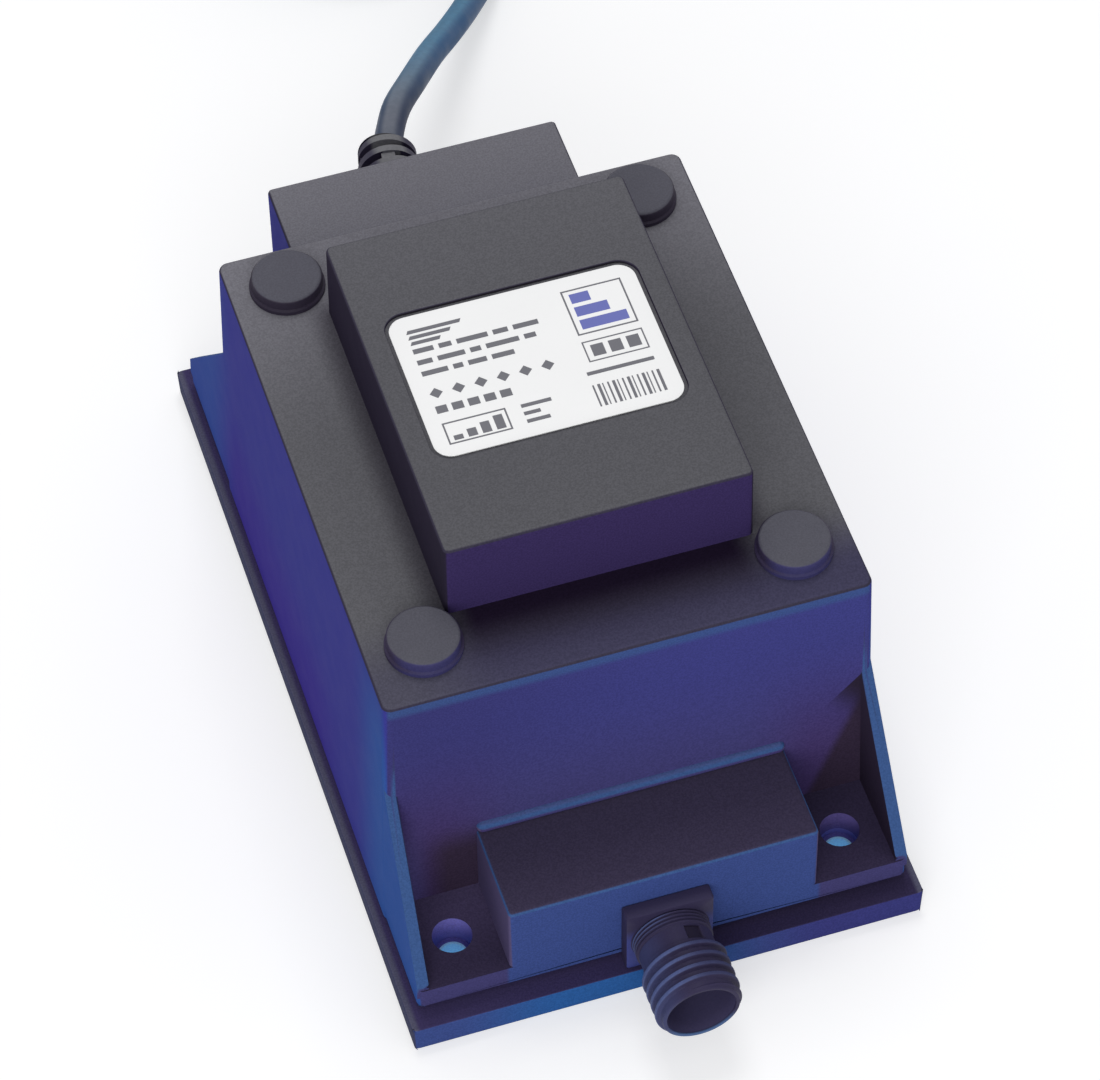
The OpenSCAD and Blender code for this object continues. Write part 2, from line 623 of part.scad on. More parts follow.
// The moulded strain relief: a collar, then ribs on a sleeve that bends with the cord, joined by webs
module strain_relief() {
    sleeve_r = cord_r + 1;
    collar_t = 2.4;
    tip = 2.6;
    bend_l = relief_bend * relief_angle * PI / 180;
    rib_end = relief_straight + bend_l - tip;
    pitch = (rib_end - collar_t) / relief_ribs;
    rib_t = pitch * 0.5;
    taper = (relief_collar_r - 0.8 - relief_end_r) / relief_ribs;
    color("#34333f") translate([0, relief_y, cord_z]) rotate([-90, 0, 0]) rotate([0, 0, relief_slope]) {
        translate([0, 0, -wall - relief_inner_l])
            cylinder(relief_inner_l, relief_neck_r + 1.6, relief_neck_r + 1.6);
        translate([0, 0, -wall - 1]) cylinder(wall + 2, relief_neck_r - grip, relief_neck_r - grip);
        cylinder(collar_t, relief_collar_r, relief_collar_r - 0.8);
        cylinder(relief_straight, sleeve_r, sleeve_r);
        translate([relief_bend, 0, relief_straight]) rotate([90, 0, 0]) rotate([0, 0, 180 - relief_angle])
            rotate_extrude(angle = relief_angle) translate([relief_bend, 0]) circle(sleeve_r);
        for (i = [1:relief_ribs]) on_relief(collar_t + i * pitch - rib_t)
            cylinder(rib_t, relief_collar_r - 0.8 - i * taper, relief_collar_r - 0.8 - i * taper);
        for (i = [1:relief_ribs]) on_relief(collar_t + (i - 0.5) * pitch - rib_t / 2)
            rotate([0, 0, 90 * (i % 2) - relief_slope]) cube([3, 2 * relief_end_r - 1, pitch], center = true);
        on_relief(relief_straight + bend_l) translate([0, 0, -tip]) cylinder(tip, relief_end_r, cord_r + 0.2);
    }
}

module cord_tail() {
    color("#3f4350") translate([0, tail_y + tail_l, cord_z]) rotate([90, 0, 0])
        cylinder(tail_l, cord_r, cord_r);
}
module lead_live() { color("saddlebrown") swept(live_route, lead_r, 8, [1, 0, 0.2]); }
module lead_neutral() { color("royalblue") swept(neutral_route, lead_r, 8, [1, 0, 0.2]); }
module lead_output_left() { color("black") swept(output_left_route, output_lead_r, 8, [1, 0, 0.2]); }
module lead_output_right() { color("black") swept(output_right_route, output_lead_r, 8, [1, 0, 0.2]); }

module lamination_holes() {
    for (p = core_hole_points) translate(p) circle(core_screw_r + slip);
}
module core_e_laminations() {
    color("#7a7f88") translate([0, 0, core_z0]) linear_extrude(stack) difference() {
        translate([-core_x / 2, body_y - core_y / 2]) difference() {
            square([core_x - leg, core_y]);
            for (y = [leg, 4 * leg]) translate([leg, y]) square([window_x + 1, leg]);
        }
        lamination_holes();
    }
}
module core_i_laminations() {
    color("#868b94") translate([0, 0, core_z0]) linear_extrude(stack) difference() {
        translate([core_x / 2 - leg, body_y - core_y / 2]) square([leg, core_y]);
        lamination_holes();
    }
}
module core_screws() {
    color("silver") for (p = core_hole_points) translate([p.x, p.y, 0]) {
        translate([0, 0, core_screw_z0]) cylinder(core_z1 - core_screw_z0, core_screw_r, core_screw_r);
        translate([0, 0, core_z1]) cylinder(core_head_h, core_screw_r * 1.7, core_screw_r * 1.7);
    }
}

// Rings round the core's middle leg: outlines lie in the YZ plane and are drawn out along X
module across(x, l) { translate([x, body_y, core_mid]) rotate([90, 0, 90]) linear_extrude(l) children(); }
tube_y = bore_x + 2 * bobbin_t;
tube_z = bore_z + 2 * bobbin_t;
wound_y = coil_y - 2 * tape_t - 1;
wound_z = coil_z - 2 * tape_t - 1;
module bobbin() {
    color("ivory") difference() {
        union() {
            across(-coil_x / 2, coil_x) square([tube_y, tube_z], center = true);
            for (x = [-coil_x / 2, -partition_t / 2, coil_x / 2 - bobbin_t])
                across(x, bobbin_t) square([coil_y, coil_z], center = true);
        }
        across(-coil_x / 2 - 1, coil_x + 2) square([bore_x, bore_z], center = true);
    }
}
module winding(x) {
    across(x, chamber_x - 2 * grip) difference() {
        rounded(wound_y, wound_z, 4);
        square([tube_y + 2 * grip, tube_z + 2 * grip], center = true);
    }
}
module primary_winding() { color("#b5651d") winding(-partition_t / 2 - chamber_x + grip); }
module secondary_winding() { color("#c8762b") winding(partition_t / 2 + grip); }
module winding_tape() {
    color("gold") for (x = [-partition_t / 2 - chamber_x + grip, partition_t / 2 + grip])
        across(x, chamber_x - 2 * grip) difference() {
            rounded(wound_y + 2 * tape_t + 0.4, wound_z + 2 * tape_t + 0.4, 4.2);
            rounded(wound_y, wound_z, 4);
        }
}
module thermal_cutout() {
    size = [6.4, 18, 3.4];
    z = core_mid + wound_z / 2 + tape_t + 0.2;
    color("#e8e4d8") translate([-(chamber_x + partition_t) / 2, body_y, z + size.z / 2])
        cube(size, center = true);
}
module tags(side) {
    color("#c9b037") for (end = [-1, 1])
        translate([side * (tag_x + tag_l / 2), body_y + end * tag_gap / 2, tag_z + tag_t / 2])
            cube([tag_l, tag_w, tag_t], center = true);
}
module primary_tags() { tags(-1); }
module secondary_tags() { tags(1); }

module mains_cord() { color("#4a4f60") swept(cord_route, cord_r, 10, [0, 0, 1]); }
module plug_cord() { color("#4a4f60") swept(tail_route, cord_r, 10, [0, 0, 1]); }
module cord_coil() {
    color("#4a4f60") translate([coil_pos.x, coil_pos.y, coil_z0]) rotate_extrude()
        translate([coil_r0, 0]) square([coil_r1 - coil_r0, coil_h]);
}
module cord_tie() {
    inner_w = coil_r1 - coil_r0 + 0.9;
    color("#202024") translate([coil_pos.x, coil_pos.y, 0]) rotate([0, 0, tie_angle])
        translate([coil_mid_r, 0, coil_z0 + coil_h / 2]) difference() {
            cube([inner_w + 2 * tie_t, tie_w, coil_h + 2 * tie_t], center = true);
            cube([inner_w, tie_w + 1, coil_h], center = true);
        }
}
module plug_body() {
    half = plug_w / 2;
    nose = plug_nose_w / 2;
    color("#34353f") translate([plug_pos.x, plug_pos.y, plug_t / 2]) {
        translate([-plug_boot_l - plug_l, 0, -plug_t / 2]) linear_extrude(plug_t)
            polygon([[0, -half + 4], [4, -half], [plug_l - 14, -half], [plug_l, -nose],
                [plug_l, nose], [plug_l - 14, half], [4, half], [0, half - 4]]);
        rotate([0, -90, 0]) cylinder(plug_boot_l, cord_r + 0.8, plug_t / 2 - 1);
        for (i = [1:4]) translate([-i * 5 + 1.5, 0, 0]) rotate([0, -90, 0])
            cylinder(2, cord_r + 1.6 + i * 0.25, cord_r + 1.7 + i * 0.25);
    }
}
module plug_pin(side) {
    x = plug_pos.x - plug_boot_l - plug_l;
    color("silver") translate([x, plug_pos.y + side * plug_pin_gap / 2, plug_t / 2])
        rotate([0, -90, 0]) {
            cylinder(plug_pin_l - 1, plug_pin_r, plug_pin_r);
            translate([0, 0, plug_pin_l - 1]) cylinder(1, plug_pin_r, plug_pin_r - 0.8);
        }
}
module plug_pin_left() { plug_pin(-1); }
module plug_pin_right() { plug_pin(1); }

base_plate();
base_gasket();
housing_cover();
screw_cap_front_left();
screw_cap_front_right();
screw_cap_back_left();
screw_cap_back_right();
cover_screws();
rating_label();
output_connector();
connector_insert();
contact_pin_left();
contact_pin_right();
connector_lock_nut();
connector_o_ring();
strain_relief();
cord_tail();
lead_live();
lead_neutral();
lead_output_left();
lead_output_right();
core_e_laminations();
core_i_laminations();
core_screws();
bobbin();
primary_winding();
secondary_winding();
winding_tape();
thermal_cutout();
primary_tags();
secondary_tags();
mains_cord();
cord_coil();
cord_tie();
plug_cord();
plug_body();
plug_pin_left();
plug_pin_right();
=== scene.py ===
import bpy, json, math
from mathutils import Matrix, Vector


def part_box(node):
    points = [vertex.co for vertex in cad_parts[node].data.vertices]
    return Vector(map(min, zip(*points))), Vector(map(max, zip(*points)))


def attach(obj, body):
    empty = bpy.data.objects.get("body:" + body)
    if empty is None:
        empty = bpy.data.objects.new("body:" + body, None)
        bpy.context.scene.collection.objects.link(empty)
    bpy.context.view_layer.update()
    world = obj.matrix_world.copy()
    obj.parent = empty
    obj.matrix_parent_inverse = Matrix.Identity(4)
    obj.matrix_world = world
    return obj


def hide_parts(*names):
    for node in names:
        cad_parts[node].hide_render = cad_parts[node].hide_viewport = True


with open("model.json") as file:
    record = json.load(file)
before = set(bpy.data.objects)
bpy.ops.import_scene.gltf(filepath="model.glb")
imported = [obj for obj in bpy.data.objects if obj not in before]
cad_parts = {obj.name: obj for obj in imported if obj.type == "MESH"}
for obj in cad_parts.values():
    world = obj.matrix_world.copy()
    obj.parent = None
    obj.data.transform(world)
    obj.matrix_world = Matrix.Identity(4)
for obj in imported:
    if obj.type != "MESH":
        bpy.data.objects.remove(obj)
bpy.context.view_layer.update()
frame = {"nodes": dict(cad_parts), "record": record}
nodes = frame["nodes"]
scene = bpy.context.scene
MM = 0.001

# Camera: the photograph's viewing angle, found from the object's own edges
CAMERA_PLACE = (-0.18214, -0.60877, 0.84962)
CAMERA_TURN = (37.9748, 0.6303, -17.7525)
CAMERA_LENS, SENSOR_WIDTH = 162.8, 36.0
CAMERA_NEAR, CAMERA_FAR = 0.05, 20


def make_camera():
    data = bpy.data.cameras.new("camera")
    data.lens, data.sensor_width, data.sensor_fit = CAMERA_LENS, SENSOR_WIDTH, "HORIZONTAL"
    data.clip_start, data.clip_end = CAMERA_NEAR, CAMERA_FAR
    cam = bpy.data.objects.new("camera", data)
    cam.location = CAMERA_PLACE
    cam.rotation_euler = [math.radians(a) for a in CAMERA_TURN]
    scene.collection.objects.link(cam)
    scene.camera = cam


make_camera()

# Mains cord: the route's points repeat those of the part's source, in millimetres
CORD_D = 6.5
EXIT = (2.326, 114.237, 36.653)
ROUTE = [EXIT, (4.4, 119.7, 35.9), (8.4, 127.9, 34.1), (14.8, 137.8, 30), (22.5, 150.4, 23.5),
         (30.4, 162.6, 16.2), (38.4, 175, 9.6), (46.7, 187.6, 5), (54.2, 199.6, 3.4)]
TAIL = [(80.8, 240.5, 9.9), (85.7, 253.7, 8.2), (84.8, 267.7, 6), (78.1, 280.1, 4.3), (66.8, 288.5, 3.7),
        (53.1, 291.5, 4.8), (36, 291.5, 6.85), (18, 291.5, 6.85)]
ROUTE_STEPS = 4
COIL_MIDDLE = (32, 242)
COIL_R = 38.5
COIL_LIFT = 0.6
COIL_BASE = COIL_LIFT + CORD_D / 2
# The coil in degrees: where it begins round its middle, how far it runs, and the step between its points
COIL_ENTRY, COIL_RUN, COIL_STEP = -33.0, 1800, 6
# Shifts to the next lane, each in a sector of its own: from, to, across (r) or up and down (z), and which way
COIL_SHIFTS = [(270, 360, "r", -1), (540, 630, "z", 1), (900, 990, "z", 1), (1170, 1260, "r", 1),
               (1440, 1530, "z", -1)]
CORD_ROUNDNESS = 6


def ease(t):
    """A smooth way from 0 to 1 that starts and ends level."""
    t = min(1.0, max(0.0, t))
    return t * t * t * (t * (6 * t - 15) + 10)


def coil_points():
    """Five turns in two columns and three layers."""
    outer, inner = COIL_R + CORD_D / 2, COIL_R - CORD_D / 2
    points = []
    for turned in range(0, COIL_RUN + 1, COIL_STEP):
        r, z = outer, COIL_BASE
        for start, end, what, sign in COIL_SHIFTS:
            shift = sign * ease((turned - start) / (end - start))
            if what == "r":
                r += shift * (outer - inner)
            else:
                z += shift * CORD_D
        angle = math.radians(COIL_ENTRY + turned)
        points.append((COIL_MIDDLE[0] + r * math.cos(angle), COIL_MIDDLE[1] + r * math.sin(angle), z))
    return points


def smooth_through(points):
    """Catmull-Rom points through the given ones, a few to each stretch."""
    p = [Vector(q) for q in points]
    p = [p[0] * 2 - p[1]] + p + [p[-1] * 2 - p[-2]]
    out = []
    for i in range(1, len(p) - 2):
        a, b, c, d = p[i - 1:i + 3]
        for k in range(ROUTE_STEPS):
            t = k / ROUTE_STEPS
            square, cube = 2 * a - 5 * b + 4 * c - d, 3 * b - a - 3 * c + d
            out.append(0.5 * ((2 * b) + (c - a) * t + square * t * t + cube * t ** 3))
    out.append(p[-2])
    return out


def cord_line():
    coil = coil_points()
    line = smooth_through(ROUTE + [coil[0]])[:-1] + [Vector(q) for q in coil]
    line += smooth_through([coil[-1]] + TAIL)[1:]
    return [q * MM for q in line]


def make_cord():
    points = cord_line()
    curve = bpy.data.curves.new("mains_cord_curve", "CURVE")
    curve.dimensions = "3D"
    spline = curve.splines.new("POLY")
    spline.points.add(len(points) - 1)
    for p, q in zip(spline.points, points):
        p.co = (q[0], q[1], q[2], 1)
        p.radius = CORD_D / 2 * MM
    spline.use_smooth = True
    curve.bevel_depth = 1.0
    curve.bevel_resolution = CORD_ROUNDNESS
    curve.use_fill_caps = True
    obj = bpy.data.objects.new("mains_cord_piece", curve)
    scene.collection.objects.link(obj)
    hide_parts("mains_cord", "cord_coil", "plug_cord")
    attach(obj, "root")
    return obj


cord = make_cord()

# Output socket: one closed skin of loops round its axis, with a true screw thread.
# Each loop's place s is the way out from the socket box's face; s and all radii are in millimetres.
SOCKET_Z = 15.8
SOCKET_FACE = -85.3
AROUND = 144
SHARP_TURN = 35
ROOT_R, CREST_R, COLLAR_R, MOUTH_R, SHANK_R, BORE_R = 8.1, 9.1, 7.75, 7.2, 5.6, 4.3
# Half the flange's width and height, how far its corners are cut, and its thickness
FLANGE_HALF, FLANGE_CUT, FLANGE_T = (9.2, 8.9), 0.3, 3.4
FLANGE_FACE_R, TINY = 7.9, 1e-6
# Behind the flange: the shank through the wall, then the groove for the ring
SHANK = [(-8, BORE_R), (-8, SHANK_R - 0.3), (-7.7, SHANK_R), (0, SHANK_R), (0, 6.05), (1.6, 6.05),
         (1.6, 7.75), (0, 7.75)]
# The flange: each place, and how far its outline is set in there
FLANGE = [(0, 0.25), (0.2, 0), (FLANGE_T - 0.45, 0), (FLANGE_T - 0.12, 0.12), (FLANGE_T, 0.4)]
RIDGES, RIDGE_PITCH, RIDGE_H, RIDGE_ROOT_R, RIDGE_STEPS = 4, 0.85, 0.42, 7.7, 32
COLLAR = (6.84, 7.15, 7.25, 8.2, 9.2, 10.35, 10.45, 10.75)
NOTCH_ANGLE, NOTCH_HALF, NOTCH_RUN, NOTCH_R = 65, 14.5, (7.2, 10.4), 7.25
MOUTH, FLOOR = 23.15, 10.65
THREAD_START, THREAD_END, THREAD_GONE = 10.8, MOUTH - 0.45, MOUTH - 0.5
THREAD_PITCH, THREAD_FADE, THREAD_STEPS = 2.6, 1.2, 104
# Where in each turn the flanks rise and fall: from, to, from, to
THREAD_FORM, RIDGE_FORM = (0.06, 0.28, 0.46, 0.7), (0.1, 0.38, 0.55, 0.88)
# From the thread's end over the rim and down the mouth to its floor
RIM_AND_MOUTH = [(MOUTH - 0.3, ROOT_R), (MOUTH - 0.08, ROOT_R - 0.08), (MOUTH, ROOT_R - 0.25),
                 (MOUTH, MOUTH_R + 0.25), (MOUTH - 0.07, MOUTH_R + 0.07), (MOUTH - 0.25, MOUTH_R),
                 (20, MOUTH_R), (17, MOUTH_R), (14, MOUTH_R), (FLOOR, MOUTH_R), (FLOOR, BORE_R)]


def plateau(t, up, top, end, down):
    """A raised run of a repeating outline: 0 outside, 1 between top and end, with smooth flanks."""
    return ease((t - up) / (top - up)) * (1 - ease((t - end) / (down - end)))


def thread_r(s, angle):
    turn = (s - THREAD_START) / THREAD_PITCH - angle / (2 * math.pi)
    fade = ease((s - THREAD_START) / THREAD_FADE) * ease((THREAD_GONE - s) / THREAD_FADE)
    return ROOT_R + (CREST_R - ROOT_R) * fade * plateau(turn % 1, *THREAD_FORM)


def flange_r(angle, inset):
    """Distance from the axis to the flange's edge."""
    a, b = (half - inset for half in FLANGE_HALF)
    across, along = max(TINY, abs(math.cos(angle))), max(TINY, abs(math.sin(angle)))
    return min(a / across, b / along, math.hypot(a, b) - FLANGE_CUT)


def collar_r(s, angle):
    off = abs(angle - math.radians(NOTCH_ANGLE))
    notched = off < math.radians(NOTCH_HALF) and NOTCH_RUN[0] < s < NOTCH_RUN[1]
    return NOTCH_R if notched else COLLAR_R


def socket_loops():
    """The angles round the axis, and for each loop its place and its radius at each angle."""
    angles = [2 * math.pi * k / AROUND for k in range(AROUND)]
    loops = [(s, [r] * AROUND) for s, r in SHANK]
    loops += [(s, [flange_r(a, inset) for a in angles]) for s, inset in FLANGE]
    loops.append((FLANGE_T, [FLANGE_FACE_R] * AROUND))
    for k in range(RIDGE_STEPS + 1):
        t = RIDGES * k / RIDGE_STEPS
        r = RIDGE_ROOT_R + RIDGE_H * plateau(t % 1, *RIDGE_FORM)
        loops.append((FLANGE_T + 0.02 + t * RIDGE_PITCH, [r] * AROUND))
    loops += [(s, [collar_r(s, a) for a in angles]) for s in COLLAR]
    for k in range(THREAD_STEPS + 1):
        s = THREAD_START + (THREAD_END - THREAD_START) * k / THREAD_STEPS
        loops.append((s, [thread_r(s, a) for a in angles]))
    loops += [(s, [r] * AROUND) for s, r in RIM_AND_MOUTH]
    return angles, loops


def make_socket():
    angles, loops = socket_loops()
    verts = [(r * math.cos(a) * MM, (SOCKET_FACE - s) * MM, (SOCKET_Z + r * math.sin(a)) * MM)
             for s, radii in loops for a, r in zip(angles, radii)]
    faces = []
    for i in range(len(loops)):
        here, there = i * AROUND, (i + 1) % len(loops) * AROUND
        for k in range(AROUND):
            n = (k + 1) % AROUND
            faces.append((here + k, there + k, there + n, here + n))
    mesh = bpy.data.meshes.new("threaded_socket")
    mesh.from_pydata(verts, [], faces)
    mesh.polygons.foreach_set("use_smooth", [True] * len(faces))
    mesh.set_sharp_from_angle(angle=math.radians(SHARP_TURN))
    obj = bpy.data.objects.new("threaded_socket", mesh)
    scene.collection.objects.link(obj)
    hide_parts("output_connector")
    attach(obj, "root")
    return obj


socket = make_socket()

# Label print: plain bars, steps and diamonds in two inks, in millimetres from the label's middle
PRINT_T, PRINT_SUNK = 0.03, 0.01
LEFT, BOTTOM, INDENT = -22.5, -15.6, 1.3
# Each row's height on the label, and its bars' lengths
ROWS = [(8.6, (4.2, 2.6, 6.4, 3.1, 5.2)), (5.6, (3.1, 5.6, 2.2, 6.8, 2.4)), (2.6, (5.4, 2.0, 3.8, 4.6))]
ROW_H, ROW_GAP = 1.25, 1.1
SLANTED, SHORT, STEPS = (11, 8.5, 6), (6.2, 3.4, 4.8), (1.2, 2.0, 2.8, 3.6)
STRIPES, STRIPE_WIDTHS, STRIPE_PITCH, STRIPE_LEFT, STRIPE_H = 14, (0.35, 0.6, 0.25), 1.02, 8.4, 5.6
BOX_LEFT, BOX_W = 9.8, 12.6
DIAMONDS, DIAMOND_PITCH, DIAMOND_R = 6, 4.6, 1.35
SQUARES, SQUARE_PITCH = 5, 3.3


class Print:
    """Flat prisms of one ink that stand a little out of the label."""

    def __init__(self, name):
        self.name, self.verts, self.faces = name, [], []
        low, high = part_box("rating_label")
        self.middle = [(a + b) / 2 for a, b in zip(low, high)]
        self.top = high[2]

    def shape(self, outline):
        """An upright prism over one convex outline, listed anticlockwise."""
        first, count = len(self.verts), len(outline)
        for z in (self.top - PRINT_SUNK * MM, self.top + PRINT_T * MM):
            self.verts += [(self.middle[0] + u * MM, self.middle[1] + v * MM, z) for u, v in outline]
        self.faces.append([first + count + k for k in range(count)])
        self.faces.append([first + k for k in reversed(range(count))])
        for k in range(count):
            n = (k + 1) % count
            self.faces.append((first + k, first + n, first + count + n, first + count + k))

    def bar(self, u, v, w, h, lean=0.0):
        self.shape([(u, v), (u + w, v), (u + w + lean, v + h), (u + lean, v + h)])

    def frame(self, u, v, w, h, t):
        self.bar(u, v, w, t)
        self.bar(u, v + h - t, w, t)
        self.bar(u, v + t, t, h - 2 * t)
        self.bar(u + w - t, v + t, t, h - 2 * t)

    def diamond(self, u, v, r):
        self.shape([(u + r, v), (u, v + r), (u - r, v), (u, v - r)])

    def finish(self):
        mesh = bpy.data.meshes.new(self.name)
        mesh.from_pydata(self.verts, [], self.faces)
        obj = bpy.data.objects.new(self.name, mesh)
        scene.collection.objects.link(obj)
        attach(obj, "root")
        return obj


def make_print():
    dark, blue = Print("label_print_dark"), Print("label_print_blue")
    # left half: slanted bars, three broken rows, diamonds, squares and a frame of rising steps
    for k, w in enumerate(SLANTED):
        dark.bar(LEFT, 13.9 - 1.5 * k, w, 0.9, lean=0.5)
    for v, lengths in ROWS:
        u = LEFT
        for length in lengths:
            dark.bar(u, v, length, ROW_H)
            u += length + ROW_GAP
    for k in range(DIAMONDS):
        dark.diamond(LEFT + INDENT + DIAMOND_PITCH * k, -2.2, DIAMOND_R)
    for k in range(SQUARES):
        dark.bar(LEFT + SQUARE_PITCH * k, -7.4, 2.3, 1.9)
    dark.frame(LEFT, BOTTOM, 13, 5.6, 0.35)
    for k, h in enumerate(STEPS):
        dark.bar(LEFT + INDENT + 2.9 * k, -14.8, 1.9, h)
    # right half: stripes under a line, short bars, and two frames with squares and blue bars
    for k in range(STRIPES):
        dark.bar(STRIPE_LEFT + STRIPE_PITCH * k, BOTTOM, STRIPE_WIDTHS[k % 3], STRIPE_H)
    dark.bar(STRIPE_LEFT, -7.4, 13.9, 0.9)
    for k, w in enumerate(SHORT):
        dark.bar(-6.4, -11.1 - 2.0 * k, w, 0.9)
    dark.frame(BOX_LEFT, 3.0, BOX_W, 12.0, 0.35)
    dark.frame(BOX_LEFT, -4.2, BOX_W, 5.4, 0.3)
    for k in range(3):
        dark.bar(11.2 + 3.7 * k, -3.0, 2.6, 3.0)
        blue.bar(11.2, 4.3 + 3.5 * k, 9.8 - 2.9 * k, 2.5)
    return dark.finish(), blue.finish()


print_dark, print_blue = make_print()

# Materials: colours follow the object's own coordinates and the way a face looks on it, never the camera.
# Colours are in linear light. A run is a pair of values along which one shade gives way to the next: metres
# for a place, and parts of 1 for a noise or the way a face looks.
# Much of the colour of the plastic parts and the cord is painted light, shade, shadow and highlight.
EVEN_NOISE, PATCHY_NOISE, CLOUDY_NOISE = (0.3, 0.7), (0.35, 0.65), (0.35, 0.7)
TO_SIDE = (0.45, 0.75)
MIDDLE = (-0.01, 0.01)
# The fixing holes' places, in metres from the two middle planes
FIXING_X, FIXING_Y = 0.0413, 0.0742
# Blender's wave texture runs this many radians a metre for each unit of its scale
WAVE_RADIANS = 20


def material(name, rough, specular, metallic=0.0):
    mat = bpy.data.materials.new(name)
    mat.use_nodes = True
    shader = mat.node_tree.nodes["Principled BSDF"]
    shader.inputs["Roughness"].default_value = rough
    shader.inputs["Specular IOR Level"].default_value = specular
    shader.inputs["Metallic"].default_value = metallic
    return mat, Wiring(mat.node_tree, shader)


class Wiring:
    """Short calls for the nodes of one material."""

    def __init__(self, tree, shader):
        self.tree, self.shader = tree, shader
        coord = self.node("ShaderNodeTexCoord")
        self.place = coord.outputs["Object"]
        self.facing = self.split(coord.outputs["Normal"])
        self.xyz = self.split(self.place)

    def node(self, kind, **values):
        n = self.tree.nodes.new(kind)
        for key, value in values.items():
            setattr(n, key, value)
        return n

    def put(self, socket, value):
        if isinstance(value, bpy.types.NodeSocket):
            self.tree.links.new(value, socket)
        else:
            socket.default_value = value

    def split(self, vector):
        n = self.node("ShaderNodeSeparateXYZ")
        self.put(n.inputs[0], vector)
        return n.outputs

    def math(self, operation, a, b=0.0, clamp=False):
        n = self.node("ShaderNodeMath", operation=operation, use_clamp=clamp)
        self.put(n.inputs[0], a)
        self.put(n.inputs[1], b)
        return n.outputs[0]

    def size(self, value):
        return self.math("ABSOLUTE", value)

    def either(self, a, b):
        return self.math("MAXIMUM", a, b)

    def times(self, *factors):
        out = factors[0]
        for f in factors[1:]:
            out = self.math("MULTIPLY", out, f)
        return out

    def step(self, value, run, before, after):
        """A smooth step along a run of values."""
        n = self.node("ShaderNodeMapRange", interpolation_type="SMOOTHSTEP")
        self.put(n.inputs["Value"], value)
        for key, v in zip(("From Min", "From Max", "To Min", "To Max"), (*run, before, after)):
            n.inputs[key].default_value = v
        return n.outputs["Result"]

    def rises(self, value, run, most=1.0):
        return self.step(value, run, 0.0, most)

    def falls(self, value, run, most=1.0):
        return self.step(value, run, most, 0.0)

    def off_axis(self, a, b, at_a, at_b):
        """Distance from a straight axis that stands at at_a and at_b on two coordinates."""
        da, db = self.math("SUBTRACT", a, at_a), self.math("SUBTRACT", b, at_b)
        return self.math("SQRT", self.math("ADD", self.times(da, da), self.times(db, db)))

    def off_fixing_hole(self):
        """Distance from the axis of the nearest fixing hole."""
        return self.off_axis(self.size(self.xyz["X"]), self.size(self.xyz["Y"]), FIXING_X, FIXING_Y)

    def mix(self, factor, a, b, blend="MIX"):
        n = self.node("ShaderNodeMix", data_type="RGBA", blend_type=blend)
        self.put(n.inputs["Factor"], factor)
        for socket, value in ((n.inputs[6], a), (n.inputs[7], b)):
            self.put(socket, (*value, 1.0) if isinstance(value, tuple) else value)
        return n.outputs[2]

    def noise(self, scale, detail=2.0):
        n = self.node("ShaderNodeTexNoise")
        self.put(n.inputs["Vector"], self.place)
        n.inputs["Scale"].default_value = scale
        n.inputs["Detail"].default_value = detail
        return n.outputs["Fac"]

    def cells(self, scale):
        n = self.node("ShaderNodeTexVoronoi")
        self.put(n.inputs["Vector"], self.place)
        n.inputs["Scale"].default_value = scale
        return n.outputs["Distance"]

    def waves(self, pitch, axis):
        n = self.node("ShaderNodeTexWave", bands_direction=axis)
        self.put(n.inputs["Vector"], self.place)
        n.inputs["Scale"].default_value = 2 * math.pi / pitch / WAVE_RADIANS
        return n.outputs["Fac"]

    def bump(self, height, depth, strength):
        """Adds relief of a depth in metres to what is there."""
        n = self.node("ShaderNodeBump")
        self.put(n.inputs["Height"], height)
        n.inputs["Distance"].default_value = depth
        self.put(n.inputs["Strength"], strength)
        if self.shader.inputs["Normal"].is_linked:
            self.put(n.inputs["Normal"], self.shader.inputs["Normal"].links[0].from_socket)
        self.put(self.shader.inputs["Normal"], n.outputs[0])

    def colour(self, value):
        self.put(self.shader.inputs["Base Color"], value)

    def rough(self, value):
        self.put(self.shader.inputs["Roughness"], value)

    def glow(self, colour, strength):
        self.shader.inputs["Emission Color"].default_value = (*colour, 1.0)
        self.put(self.shader.inputs["Emission Strength"], strength)


def grained(w, colour, grain, rough):
    """Fine moulded grain: faint speckle, tiny pits and an uneven sheen."""
    fine = w.noise(scale=2600)
    speckle = w.times(w.step(fine, EVEN_NOISE, -0.12, 0.12), grain)
    w.colour(w.mix(1.0, colour, w.math("ADD", speckle, 1.0), "MULTIPLY"))
    w.rough(w.step(w.noise(scale=160, detail=3), EVEN_NOISE, rough - 0.03, rough + 0.04))
    w.bump(w.cells(scale=1500), depth=0.0001, strength=w.times(grain, 0.28))
    w.bump(fine, depth=0.00005, strength=w.times(grain, 0.4))


# Cover, the faces that look forwards or back: the body's walls in painted blue light, with painted shadow
# beside the socket box
WALL_LEFT, WALL_RIGHT, VIOLET = (0.047, 0.046, 0.182), (0.055, 0.059, 0.25), (0.042, 0.03, 0.12)
WALL_ACROSS, WALL_UP = (-0.045, 0.03), (0.03, 0.06)
# Painted light: the lower wall lighter and greyer in the middle, redder at the sides
LOWER_MIDDLE, LOWER_SIDES = (0.12, 0.1, 0.21), (0.12, 0.04, 0.06)
LOWER_ACROSS, LOWER_UP = (0.02, 0.04), (0.02, 0.07)
# Painted light: a brighter blue low near the left corner
LEFT_CORNER, LEFT_CORNER_ACROSS, LEFT_CORNER_UP = (0.12, 0.12, 0.36), (-0.047, -0.041), (0.02, 0.045)
# A painted highlight under the wall's top edge
RIM_HIGHLIGHT, WALL_TOP = (0.05, 0.105, 0.27), (0.0755, 0.0775)
